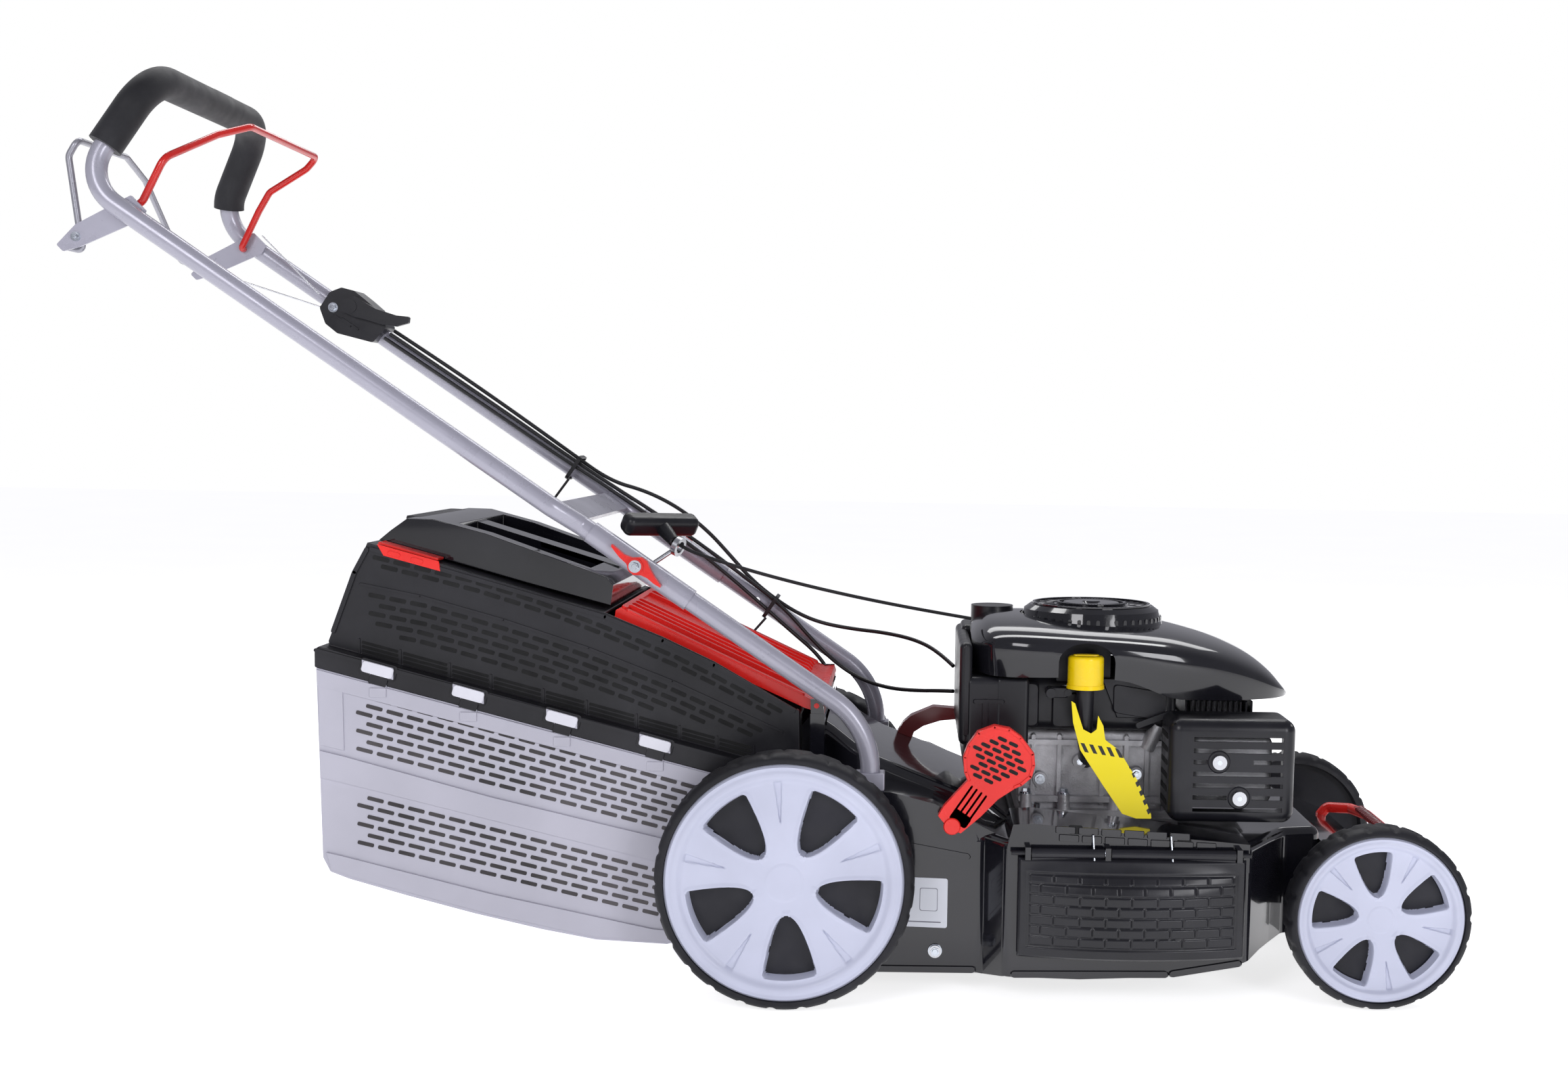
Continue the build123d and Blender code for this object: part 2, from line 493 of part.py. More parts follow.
cowl = cowl_solid(0) - cowl_solid(3)
cowl -= box(190, 268, 16, 170, 340, 420)
cowl -= zcyl(CRANK_X, 0, 88.4, 380, 430)
cowl -= box(303, 359, -160, -109, 340, 382)
put("engine_cowl", cowl)
rc = make_face(Polyline((0, 417.5), (72, 416), (78, 410), (84.8, 391), (88, 391), (81, 415), (74, 420), (0, 421.5), close=True))
put("recoil_cover", Pos(CRANK_X, 0, 0) * revolve(Plane.XZ * rc, axis=Axis.Z))
oil = rod([(338, -90, 246), (337, -118, 262), (331, -134, 290), (331, -134, 336)], 20, [18, 20], 13) - case
put("oil_filler_tube", oil.solids().sort_by(SortBy.VOLUME)[-1])
cap = zcyl(331, -134, 20.5, 336.5, 374)
cap = fillet(cap.edges(), 4)
cap += zcyl(331, -134, 3, 292, 337)
put("dipstick", cap)
TAG = [(314, 323.7), (318.2, 321.1), (327.6, 292.5), (336.5, 288), (342.8, 292.7), (344.3, 308.1), (350.3, 296.7), (352.6, 281.3), (368.2, 270), (390.1, 235.7),
       (404.6, 200), (405, 195), (387.7, 195), (372, 200), (350.1, 231.2), (324.4, 269.4), (316, 300)]
tp = Plane(origin=(0, -150, 322), x_dir=(1, 0, 0), z_dir=(0, -0.985, 0.172))
put("oil_tag", extrude(tp * make_face(Polyline(*[(x, (z - 322) / 0.985) for x, z in TAG], close=True)), amount=1.2))
put("muffler", box(445, 540, -176, -118, 212, 292, r=12) + ycyl(500, 250, 12, -119, -98.1))
guard = box(421, 563, -190, -113, 194, 311, r=14) - box(423.5, 560.5, -187.5, -103, 196.5, 308.5, r=8)
for x, z in ((476.3, 263.8), (499.5, 223.6)):
    guard -= ycyl(x, z, 4.2, -195, -180)
for z in (289, 276, 250, 237, 210):
    guard -= box(448, 548, -195, -180, z - 2.5, z + 2.5)
guard -= box(515, 548, -195, -180, 261, 266) + box(448, 465, -195, -180, 261, 266) + box(448, 486, -195, -180, 221, 226) + box(514, 548, -195, -180, 221, 226)
put("muffler_guard", guard)
put("bolts", *[ycyl(x, z, 8, -196, -190.1) + ycyl(x, z, 4, -191, -176.2) for x, z in ((476.3, 263.8), (499.5, 223.6))],
    *[ycyl(164, 48, 7, s * 203, s * 198.1) for s in (-1, 1)], *[zcyl(x, y, 5, 190.1, 196) for x in (280, 430) for y in (-101.5, 101.5)])

# ---- height lever ----
hl = prism([(164.5, 203.5), (170.6, 214.2), (196.1, 242.9), (192.2, 252.3), (190.8, 269.2), (195.4, 282.4), (206.2, 297.6), (224.7, 305), (241.5, 301.9), (254.7, 292.7),
            (268.9, 274.2), (270.3, 261), (266.8, 247.7), (255.9, 238.1), (248.5, 235), (230.1, 222.7), (211.8, 203.5), (189.8, 184.2), (174.8, 190.8)], -213, -202)
hl -= ycyl(180, 192, 4.5 + FIT, -220, -190)
put("height_lever", hl)

# ---- rear flap ----
HX, HZ = 27.0, 315.0
flap = prism([(-201, 408), (-199.5, 418.5), (-195, 421), (22, 320.5), (34, 321.5), (36.5, 315), (31, 309), (22, 308.8), (14, 311)], -150, 150)
flap -= prism([(-198.5, 390), (-197, 416.5), (-194.2, 417.6), (16, 320), (10, 300), (-100, 330)], -147, 147)
for y in (-118, -92, -66, -40, 40, 66, 92, 118):
    flap += prism([(-192, 419), (-192, 421.4), (-186, 421.8), (6, 332.9), (10, 328), (10, 325)], y - 3, y + 3)
flap += ycyl(HX, HZ, 6, -150, 150) + ycyl(HX, HZ, 3, -158, 158)
deck = Part() + PARTS["deck_shell"]
for s in (-1, 1):
    y0, y1 = sorted((s * 151, s * 157.5))
    deck += prism([(21, 298), (36, 298), (34, 322), (20, 322)], y0, y1)
deck -= ycyl(HX, HZ, 3 + FIT, -160, 160)
put("deck_shell", deck)
put("rear_flap", flap)


# ---- grass box ----
def joint_z(x):
    return 353.7 - 0.2545 * (x + 521)


lower_pts = [(-521, joint_z(-521)), (-516, 142), (-508, 126), (-487, 118), (-423, 100), (-349, 81), (-274, 64), (-214, 53), (-135, 49), (-92, 60), (-70, 120), (-62, 200), (-27, joint_z(-27))]
low = prism(lower_pts, -190, 190)
inn = [(-517.5, 380), (-512.5, 143), (-505, 129.5), (-486, 121.5), (-422, 103.5), (-348, 84.5), (-273, 67.5), (-214, 56.5), (-136, 52.5), (-95, 62), (-73.5, 121), (-65.5, 203), (-32, 223), (-32, 300)]
low -= prism(inn, -187, 187)
for x in (-453, -354, -251.5, -149):
    z = joint_z(x)
    for s in (-1, 1):
        y0, y1 = sorted((s * 188, s * 193.5))
        y2, y3 = sorted((s * 190.4, s * 193.5))
        y4, y5 = sorted((s * 190.4, s * 191.6))
        low += box(x - 9, x + 9, y0, y1, z - 14, z - 4) + box(x - 9, x + 9, y4, y5, z - 5, z + 12) + prism([(x - 17, z + 14.6), (x + 17, z + 5.6), (x + 17, z + 18.4), (x - 17, z + 27.4)], y2, y3)
low -= box(-100, 0, -118, 118, 192, 300)
put("grass_box_lower", low)
up = prism([(-508, joint_z(-508) + 0.3), (-514, 381), (-486, 455), (-470, 491), (-207, 417), (-144, 391.5), (-87, 365), (8, 311), (9, 262), (-24, joint_z(-24) + 0.3)], -170, 170)
up += prism([(-523, joint_z(-523) + 0.3), (-523, 374), (-518, 377.3), (-34, joint_z(-34) + 23), (-26, joint_z(-26) + 0.3)], -190, 190)
up -= prism([(-504, 320), (-510.5, 381), (-483, 454), (-468, 487), (-209, 414), (-209, 500), (5, 470), (5, 263), (-26, 220), (-200, 240)], -167, 167)
up -= prism([(-519.5, 300), (-519.5, 371), (-516.6, 374), (-38, joint_z(-38) + 20), (-31, 200)], -187, 187)
up -= box(-100, 30, -118, 118, 192, 299)
up -= box(-4, 30, -160, 160, 304, 330)
put("grass_box_upper", up)
lid = prism([(-466, 492), (-453, 503), (-434, 517), (-405, 516.5), (-345, 501), (-212, 455), (-204, 446), (-207, 422.5), (-300, 446.5)], -140, 140)
lid -= prism([(-384, 540), (-384, 480), (-376, 474), (-250, 441), (-236, 441), (-228, 540)], -112, 112)
lid += prism([(-392, 511), (-392, 498), (-222, 446), (-214, 452), (-216, 458)], -22, 22)
lid -= prism([(-455, 494), (-446, 501), (-430, 512), (-406, 511), (-390, 507), (-390, 476)], -136, 136)
put("grass_box_lid", lid)
ind = Pos(-425, -155, 481.7) * Rot(0, 14.9, 0) * Box(66, 24, 2.4)
ind += ycyl(-457, 490.2, 1.7, -167, -143)
put("fill_indicator", ind)

for name, solids in PARTS.items():
    moved = [s.moved(Location((SHIFT_X, 0, 0))) for s in solids]
    shape = Compound(children=moved) if len(moved) > 1 else moved[0]
    shape.label = name
    export_step(shape, "parts/" + name + ".step")
print(len(PARTS), "nodes")
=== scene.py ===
import bpy, bmesh, json, math, random
from mathutils import Vector, Matrix

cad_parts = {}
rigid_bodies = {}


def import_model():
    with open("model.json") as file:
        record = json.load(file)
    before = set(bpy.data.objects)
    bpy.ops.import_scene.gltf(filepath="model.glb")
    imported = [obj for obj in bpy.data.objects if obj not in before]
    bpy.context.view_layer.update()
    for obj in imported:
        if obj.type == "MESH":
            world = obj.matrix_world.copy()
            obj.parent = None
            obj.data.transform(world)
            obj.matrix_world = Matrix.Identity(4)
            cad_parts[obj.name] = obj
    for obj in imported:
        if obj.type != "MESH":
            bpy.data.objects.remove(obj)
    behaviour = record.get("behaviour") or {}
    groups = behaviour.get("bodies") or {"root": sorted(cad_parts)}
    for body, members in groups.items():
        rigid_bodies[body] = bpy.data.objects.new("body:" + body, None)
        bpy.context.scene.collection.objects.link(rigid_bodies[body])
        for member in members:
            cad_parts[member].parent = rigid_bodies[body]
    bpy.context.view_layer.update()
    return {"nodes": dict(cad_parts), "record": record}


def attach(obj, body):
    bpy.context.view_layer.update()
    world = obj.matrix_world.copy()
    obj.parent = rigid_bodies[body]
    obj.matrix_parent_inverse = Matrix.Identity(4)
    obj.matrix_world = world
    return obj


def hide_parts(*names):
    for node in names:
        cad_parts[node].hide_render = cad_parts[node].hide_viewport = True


for _o in list(bpy.data.objects):
    bpy.data.objects.remove(_o)
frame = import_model()
N = frame["nodes"]
random.seed(7)
SHIFT = 23.244


def V(x, y, z):
    """Layout coordinates (mm from the rear axle) to the row frame in metres."""
    return Vector(((x + SHIFT) / 1000.0, y / 1000.0, z / 1000.0))


def line_z(x):
    return 433.4 - 0.678 * (x + 113)


def along(x, y, dn):
    return (x + 0.5612 * dn, y, line_z(x) + 0.8277 * dn)


# ------------------------------------------------------------------ materials
def nt_new(name):
    m = bpy.data.materials.new(name)
    m.use_nodes = True
    nt = m.node_tree
    for n in list(nt.nodes):
        nt.nodes.remove(n)
    out = nt.nodes.new("ShaderNodeOutputMaterial")
    b = nt.nodes.new("ShaderNodeBsdfPrincipled")
    nt.links.new(b.outputs[0], out.inputs[0])
    return m, nt, b


def ramp(nt, src, p0, c0, p1, c1):
    r = nt.nodes.new("ShaderNodeValToRGB")
    r.color_ramp.elements[0].position = p0
    r.color_ramp.elements[0].color = (*c0, 1) if len(c0) == 3 else c0
    r.color_ramp.elements[1].position = p1
    r.color_ramp.elements[1].color = (*c1, 1) if len(c1) == 3 else c1
    nt.links.new(src, r.inputs[0])
    return r


def make(name, base, rough, metal=0.0, coat=0.0, coat_rough=0.05, grain=900.0, bump=0.04, dist=0.0002, vary=0.12, rvary=0.08, big=9.0, stretch=None, spec=0.34, sheen=0.0, crease_shade=0.0):
    """A moulded, painted or cast finish: colour drift, roughness drift, a fine surface grain and optional painted shade
    in the concave creases.
    """
    m, nt, b = nt_new(name)
    tc = nt.nodes.new("ShaderNodeTexCoord")
    vec = tc.outputs["Object"]
    if stretch:
        mp = nt.nodes.new("ShaderNodeMapping")
        mp.inputs["Scale"].default_value = stretch
        nt.links.new(vec, mp.inputs[0])
        vec = mp.outputs[0]
    n1 = nt.nodes.new("ShaderNodeTexNoise")
    n1.inputs["Scale"].default_value = big
    n1.inputs["Detail"].default_value = 6
    nt.links.new(tc.outputs["Object"], n1.inputs["Vector"])
    hi = tuple(min(1.0, c * (1 + vary) + 0.004 * (1 + vary)) for c in base)
    lo = tuple(c * (1 - vary) for c in base)
    r1 = ramp(nt, n1.outputs["Fac"], 0.35, lo, 0.68, hi)
    col = r1.outputs[0]
    n2 = nt.nodes.new("ShaderNodeTexNoise")
    n2.inputs["Scale"].default_value = grain
    n2.inputs["Detail"].default_value = 3
    nt.links.new(vec, n2.inputs["Vector"])
    n3 = nt.nodes.new("ShaderNodeTexNoise")
    n3.inputs["Scale"].default_value = 55
    n3.inputs["Detail"].default_value = 5
    nt.links.new(tc.outputs["Object"], n3.inputs["Vector"])
    rr = ramp(nt, n3.outputs["Fac"], 0.3, (max(0.02, rough - rvary),) * 3, 0.72, (min(1, rough + rvary),) * 3)
    nt.links.new(rr.outputs[0], b.inputs["Roughness"])
    # painted shade in the concave creases, found by pointiness: the colour there is mixed towards 0.6 times the base
    # colour plus 0.01
    if crease_shade:
        geo = nt.nodes.new("ShaderNodeNewGeometry")
        pt = ramp(nt, geo.outputs["Pointiness"], 0.47, (crease_shade, crease_shade, crease_shade), 0.53, (0, 0, 0))
        mx = nt.nodes.new("ShaderNodeMix")
        mx.data_type = "RGBA"
        nt.links.new(pt.outputs[0], mx.inputs[0])
        nt.links.new(col, mx.inputs[6])
        mx.inputs[7].default_value = (*[min(1, c * 0.6 + 0.01) for c in base], 1)
        col = mx.outputs[2]
    nt.links.new(col, b.inputs["Base Color"])
    bp = nt.nodes.new("ShaderNodeBump")
    bp.inputs["Strength"].default_value = bump
    bp.inputs["Distance"].default_value = dist
    nt.links.new(n2.outputs["Fac"], bp.inputs["Height"])
    nt.links.new(bp.outputs[0], b.inputs["Normal"])
    b.inputs["Metallic"].default_value = metal
    b.inputs["Specular IOR Level"].default_value = spec
    b.inputs["Coat Weight"].default_value = coat
    b.inputs["Coat Roughness"].default_value = coat_rough
    if sheen:
        b.inputs["Sheen Weight"].default_value = sheen
        b.inputs["Sheen Roughness"].default_value = 0.5
    return m


M = {
    "deck_black": make("paint_black_gloss", (0.006, 0.006, 0.0095), 0.13, coat=0.7, coat_rough=0.04, grain=420, bump=0.05, vary=0.25, rvary=0.04),
    "black_gloss_plastic": make("plastic_black_gloss", (0.006, 0.006, 0.009), 0.11, coat=0.6, coat_rough=0.03, grain=300, bump=0.03, vary=0.2, rvary=0.03),
    "cover_black": make("plastic_black_satin", (0.0085, 0.0085, 0.0125), 0.33, coat=0.15, coat_rough=0.2, grain=900, bump=0.12, vary=0.25, rvary=0.06, crease_shade=0.3),
    "black_plastic": make("plastic_black_grain", (0.008, 0.008, 0.0115), 0.36, coat=0.1, coat_rough=0.25, grain=1400, bump=0.18, vary=0.25, rvary=0.08),
    "box_black": make("plastic_box_black", (0.0095, 0.0092, 0.0125), 0.40, coat=0.05, coat_rough=0.3, grain=1300, bump=0.22, vary=0.3, rvary=0.09),
    "slot_dark": make("slot_shadow", (0.0015, 0.0015, 0.002), 0.7, grain=900, bump=0.1, vary=0.3),
    "slot_grey": make("slot_shadow_grey", (0.06, 0.055, 0.058), 0.75, grain=900, bump=0.1, vary=0.45),
    "pale_plastic": make("plastic_pale_grey", (0.43, 0.425, 0.49), 0.42, grain=1300, bump=0.14, vary=0.05, rvary=0.07, coat=0.05, coat_rough=0.3),
    "clip_white": make("plastic_clip", (0.66, 0.66, 0.72), 0.38, grain=1200, bump=0.1, vary=0.05),
    "hub_grey": make("plastic_hub_grey", (0.50, 0.52, 0.64), 0.36, grain=1300, bump=0.12, vary=0.06, rvary=0.07, coat=0.12, coat_rough=0.25),
    "tyre_black": make("tyre_rubber", (0.009, 0.009, 0.0125), 0.62, grain=900, bump=0.25, dist=0.0004, vary=0.3, rvary=0.1),
    "core_black": make("plastic_core_black", (0.007, 0.007, 0.012), 0.42, grain=1000, bump=0.15, vary=0.3, rvary=0.1),
    "handle_silver": make("paint_silver", (0.36, 0.355, 0.42), 0.30, metal=0.2, coat=0.4, coat_rough=0.12, grain=500, bump=0.004, vary=0.05, rvary=0.05),
    "grey_wire": make("paint_grey_wire", (0.33, 0.33, 0.37), 0.33, metal=0.45, coat=0.3, coat_rough=0.15, grain=700, bump=0.01, vary=0.08),
    "steel": make("zinc_steel", (0.56, 0.57, 0.60), 0.27, metal=1.0, grain=700, bump=0.08, vary=0.12, rvary=0.09, stretch=(1, 1, 12)),
    "cast_alloy": make("cast_alloy", (0.46, 0.46, 0.48), 0.45, metal=0.65, grain=520, bump=0.5, dist=0.0006, vary=0.25, rvary=0.12, big=24),
    "red_paint": make("paint_red", (0.56, 0.012, 0.008), 0.25, coat=0.5, coat_rough=0.1, grain=900, bump=0.05, vary=0.1),
    "red_plastic": make("plastic_red", (0.74, 0.016, 0.011), 0.30, coat=0.25, coat_rough=0.15, grain=1100, bump=0.1, vary=0.12, rvary=0.06, crease_shade=0.35),
    "dark_red": make("plastic_dark_red", (0.16, 0.006, 0.008), 0.22, coat=0.4, coat_rough=0.1, grain=800, bump=0.06, vary=0.2),
    "yellow_plastic": make("plastic_yellow", (0.95, 0.66, 0.0), 0.28, coat=0.3, coat_rough=0.12, grain=1200, bump=0.08, vary=0.06, crease_shade=0.2),
    "foam": make("foam_grip", (0.008, 0.008, 0.011), 0.62, grain=1700, bump=0.42, dist=0.0005, vary=0.25, rvary=0.1, sheen=0.12),
    "cable_black": make("cable_sheath", (0.012, 0.012, 0.014), 0.38, grain=1500, bump=0.1, vary=0.25),
    "rope_black": make("rope_braid", (0.013, 0.013, 0.015), 0.8, grain=2600, bump=0.6, dist=0.0006, vary=0.4, sheen=0.1),
    "guard_black": make("paint_guard_black", (0.008, 0.008, 0.012), 0.36, coat=0.12, coat_rough=0.25, grain=1100, bump=0.14, vary=0.25, rvary=0.08),
    "label": make("label_pale", (0.62, 0.64, 0.70), 0.35, coat=0.3, coat_rough=0.1, grain=900, bump=0.02, vary=0.03),
    "label_grey": make("label_bars", (0.20, 0.20, 0.24), 0.45, grain=900, bump=0.02, vary=0.1),
    "zinc": make("zinc_bright", (0.62, 0.66, 0.72), 0.2, metal=1.0, grain=900, bump=0.06, vary=0.15, rvary=0.08),
}


def card_material():
    """Yellow tag with a band of generic black hazard bars near the top and down the lower edge."""
    m, nt, b = nt_new("card_yellow")
    tc = nt.nodes.new("ShaderNodeTexCoord")
    sx = nt.nodes.new("ShaderNodeSeparateXYZ")
    nt.links.new(tc.outputs["Object"], sx.inputs[0])

    def math_(op, a, c=None, v=None):
        n = nt.nodes.new("ShaderNodeMath")
        n.operation = op
        nt.links.new(a, n.inputs[0])
        if c is not None:
            nt.links.new(c, n.inputs[1])
        if v is not None:
            n.inputs[1].default_value = v
        return n.outputs[0]
    x, z = sx.outputs[0], sx.outputs[2]
    # bars across the neck
    diag = math_("ADD", math_("MULTIPLY", x, v=110.0), math_("MULTIPLY", z, v=55.0))
    bars = math_("GREATER_THAN", math_("FRACT", diag), v=0.52)
    zz = math_("ADD", z, math_("MULTIPLY", x, v=0.14))
    band = math_("MULTIPLY", math_("GREATER_THAN", zz, v=0.3170), math_("LESS_THAN", zz, v=0.3265))
    f1 = math_("MULTIPLY", bars, band)
    # bars down the right hand edge: the edge runs at a slope
    edge = math_("ADD", math_("MULTIPLY", x, v=1.0), math_("MULTIPLY", z, v=0.42))
    band2 = math_("GREATER_THAN", edge, v=0.5085)
    low = math_("LESS_THAN", z, v=0.262)
    f2 = math_("MULTIPLY", math_("MULTIPLY", math_("GREATER_THAN", math_("FRACT", math_("ADD", math_("MULTIPLY", z, v=75.0), math_("MULTIPLY", x, v=-60.0))), v=0.5), band2), low)
    f = math_("MAXIMUM", f1, f2)
    mx = nt.nodes.new("ShaderNodeMix")
    mx.data_type = "RGBA"
    nt.links.new(f, mx.inputs[0])
    mx.inputs[6].default_value = (0.90, 0.74, 0.0, 1)
    mx.inputs[7].default_value = (0.012, 0.012, 0.012, 1)
    ns = nt.nodes.new("ShaderNodeTexNoise")
    ns.inputs["Scale"].default_value = 60
    nt.links.new(tc.outputs["Object"], ns.inputs["Vector"])
    rr = ramp(nt, ns.outputs["Fac"], 0.3, (0.33,) * 3, 0.7, (0.48,) * 3)
    nt.links.new(rr.outputs[0], b.inputs["Roughness"])
    nt.links.new(mx.outputs[2], b.inputs["Base Color"])
    bp = nt.nodes.new("ShaderNodeBump")
    bp.inputs["Strength"].default_value = 0.1
    bp.inputs["Distance"].default_value = 0.0005
    nt.links.new(ns.outputs["Fac"], bp.inputs["Height"])
    nt.links.new(bp.outputs[0], b.inputs["Normal"])
    return m


M["yellow_card"] = card_material()


# ------------------------------------------------------------------ mesh helpers
def obj_from(name, verts, faces, mats, body, smooth=True, fmat=None, replaces=None, bevel=0.0, angle=35):
    me = bpy.data.meshes.new(name)
    me.from_pydata([tuple(v) for v in verts], [], faces)
    me.update()
    ob = bpy.data.objects.new(name, me)
    bpy.context.scene.collection.objects.link(ob)
    for m in (mats if isinstance(mats, (list, tuple)) else [mats]):
        me.materials.append(m)
    if fmat:
        for p, i in zip(me.polygons, fmat):
            p.material_index = i
    if smooth:
        for p in me.polygons:
            p.use_smooth = True
        me.set_sharp_from_angle(angle=math.radians(angle))
    if bevel:
        bv = ob.modifiers.new("edge", "BEVEL")
        bv.width = bevel
        bv.segments = 2
        bv.limit_method = "ANGLE"
        bv.angle_limit = math.radians(30)
        bv.harden_normals = True
    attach(ob, body)
    if replaces:
        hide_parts(*([replaces] if isinstance(replaces, str) else replaces))
    return ob


class Builder:
    """Collects many small solids into one mesh."""
    def __init__(self):
        self.v, self.f, self.m = [], [], []

    def add(self, verts, faces, mi=0):
        o = len(self.v)
        self.v += [Vector(p) for p in verts]
        self.f += [tuple(i + o for i in fa) for fa in faces]
        self.m += [mi] * len(faces)

    def prism(self, poly, n, h0, h1, chamfer=0.0, mi=0):
        """poly: list of points (mm, layout frame) on a plane, n: unit normal, from h0 to h1 along n."""
        n = Vector(n).normalized()
        c = sum((Vector(p) for p in poly), Vector()) / len(poly)
        k = len(poly)
        rings = [(h0, 1.0)]
        if chamfer:
            rings += [(h1 - chamfer * (1 if h1 > h0 else -1), 1.0), (h1, None)]
        else:
            rings += [(h1, 1.0)]
        vs = []
        for h, s in rings:
            for p in poly:
                p = Vector(p)
                if s is None:
                    d = p - c
                    L = d.length
                    p = c + d * max(0.2, (L - chamfer) / L)
                vs.append(V(*(p + n * h)))
        fs = []
        for r in range(len(rings) - 1):
            for i in range(k):
                j = (i + 1) % k
                fs.append((r * k + i, r * k + j, (r + 1) * k + j, (r + 1) * k + i))
        fs.append(tuple(reversed(range(k))))
        fs.append(tuple((len(rings) - 1) * k + i for i in range(k)))
        self.add(vs, fs, mi)

    def rrect(self, c, u, w, a, b, r, h0, h1, chamfer=0.0, mi=0, seg=3):
        """Rounded rectangle a by b centred at c, along u and w."""
        c, u, w = Vector(c), Vector(u).normalized(), Vector(w).normalized()
        pts = []
        for (sx, sy, st) in ((1, 1, 0), (-1, 1, 90), (-1, -1, 180), (1, -1, 270)):
            for k in range(seg + 1):
                t = math.radians(st + 90 * k / seg)
                pts.append(c + u * (sx * (a / 2 - r) + r * math.cos(t)) + w * (sy * (b / 2 - r) + r * math.sin(t)))
        self.prism(pts, u.cross(w), h0, h1, chamfer, mi)

    def cyl(self, p, q, r0, r1=None, n=24, mi=0, cap=True):
        p, q = Vector(p), Vector(q)
        r1 = r0 if r1 is None else r1
        d = (q - p).normalized()
        a = d.orthogonal().normalized()
        b = d.cross(a)
        vs = []
        for c, r in ((p, r0), (q, r1)):
            for i in range(n):
                t = 2 * math.pi * i / n
                vs.append(V(*(c + a * (r * math.cos(t)) + b * (r * math.sin(t)))))
        fs = [(i, (i + 1) % n, n + (i + 1) % n, n + i) for i in range(n)]
        if cap:
            fs += [tuple(reversed(range(n))), tuple(range(n, 2 * n))]
        self.add(vs, fs, mi)

    def make(self, name, mats, body, slot=None, smooth=True, bevel=0.0, replaces=None, angle=35):
        ob = obj_from(name, self.v, self.f, mats, body, smooth, self.m, replaces, bevel, angle)
        bm = bmesh.new()
        bm.from_mesh(ob.data)
        bmesh.ops.recalc_face_normals(bm, faces=bm.faces)
        bm.to_mesh(ob.data)
        bm.free()
        return ob


def inside(poly, x, z):
    r = False
    j = len(poly) - 1
    for i in range(len(poly)):
        xi, zi = poly[i]
        xj, zj = poly[j]
        if (zi > z) != (zj > z) and x < (xj - xi) * (z - zi) / (zj - zi) + xi:
            r = not r
        j = i
    return r


def curve(name, pts, r, mat, body, replaces=None, order=3, res=12, bres=6, cyc=False):
    cu = bpy.data.curves.new(name, "CURVE")
    cu.dimensions = "3D"
    sp = cu.splines.new("NURBS")
    sp.points.add(len(pts) - 1)
    for i, p in enumerate(pts):
        sp.points[i].co = (*V(*p), 1)
    sp.order_u = order
    sp.use_endpoint_u = True
    sp.use_cyclic_u = cyc
    sp.resolution_u = res
    cu.bevel_depth = r / 1000.0
    cu.bevel_resolution = bres
    cu.use_fill_caps = True
    cu.materials.append(mat)
    ob = bpy.data.objects.new(name, cu)
    bpy.context.scene.collection.objects.link(ob)
    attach(ob, body)
    if replaces:
        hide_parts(replaces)
    return ob


# ------------------------------------------------------------------ carried-over CAD nodes
slot_of = {s["node"]: s["material_slot"] for s in frame["record"]["subparts"]}
override = {"rear_carry_handle": "dark_red", "front_carry_handle": "red_plastic", "grass_box_upper": "box_black", "grass_box_lid": "black_gloss_plastic", "side_cover": "cover_black", "side_cover_rod": "black_plastic"}
bevels = {"deck_shell": 2.0, "fuel_tank": 2.0, "grass_box_lower": 2.2, "grass_box_upper": 2.5, "grass_box_lid": 4.0, "rear_flap": 2.0, "height_lever": 1.5,
          "throttle_housing": 2.5, "throttle_lever": 1.2, "wing_lever_right": 1.5, "wing_lever_left": 1.5, "dipstick": 1.0, "fuel_cap": 2.0, "front_carrier": 2.0, "oil_tag": 0.15,
          "blade": 0.4, "bail_plates": 0.5, "muffler_guard": 0.8, "handle_mounts": 1.5, "rear_carry_handle": 4.0, "fill_indicator": 0.8, "blower_housing": 2.0}
for n, o in N.items():
    me = o.data
    for a in ("custom_normal",):
        if a in me.attributes:
            me.attributes.remove(me.attributes[a])
    for p in me.polygons:
        p.use_smooth = True
    me.materials.clear()
    me.materials.append(M[override.get(n, slot_of[n])])
    w = o.modifiers.new("join", "WELD")
    w.merge_threshold = 0.00002
    bw = bevels.get(n, 0.0)
    if not bw:
        e = o.modifiers.new("crease", "EDGE_SPLIT")
        e.split_angle = math.radians(34)
        e.use_edge_sharp = False
    else:
        b = o.modifiers.new("edge", "BEVEL")
        b.width = bw / 1000.0
        b.segments = 3 if bw > 1.5 else 2
        b.limit_method = "ANGLE"
        b.angle_limit = math.radians(32)
        b.harden_normals = True
        b.use_clamp_overlap = True


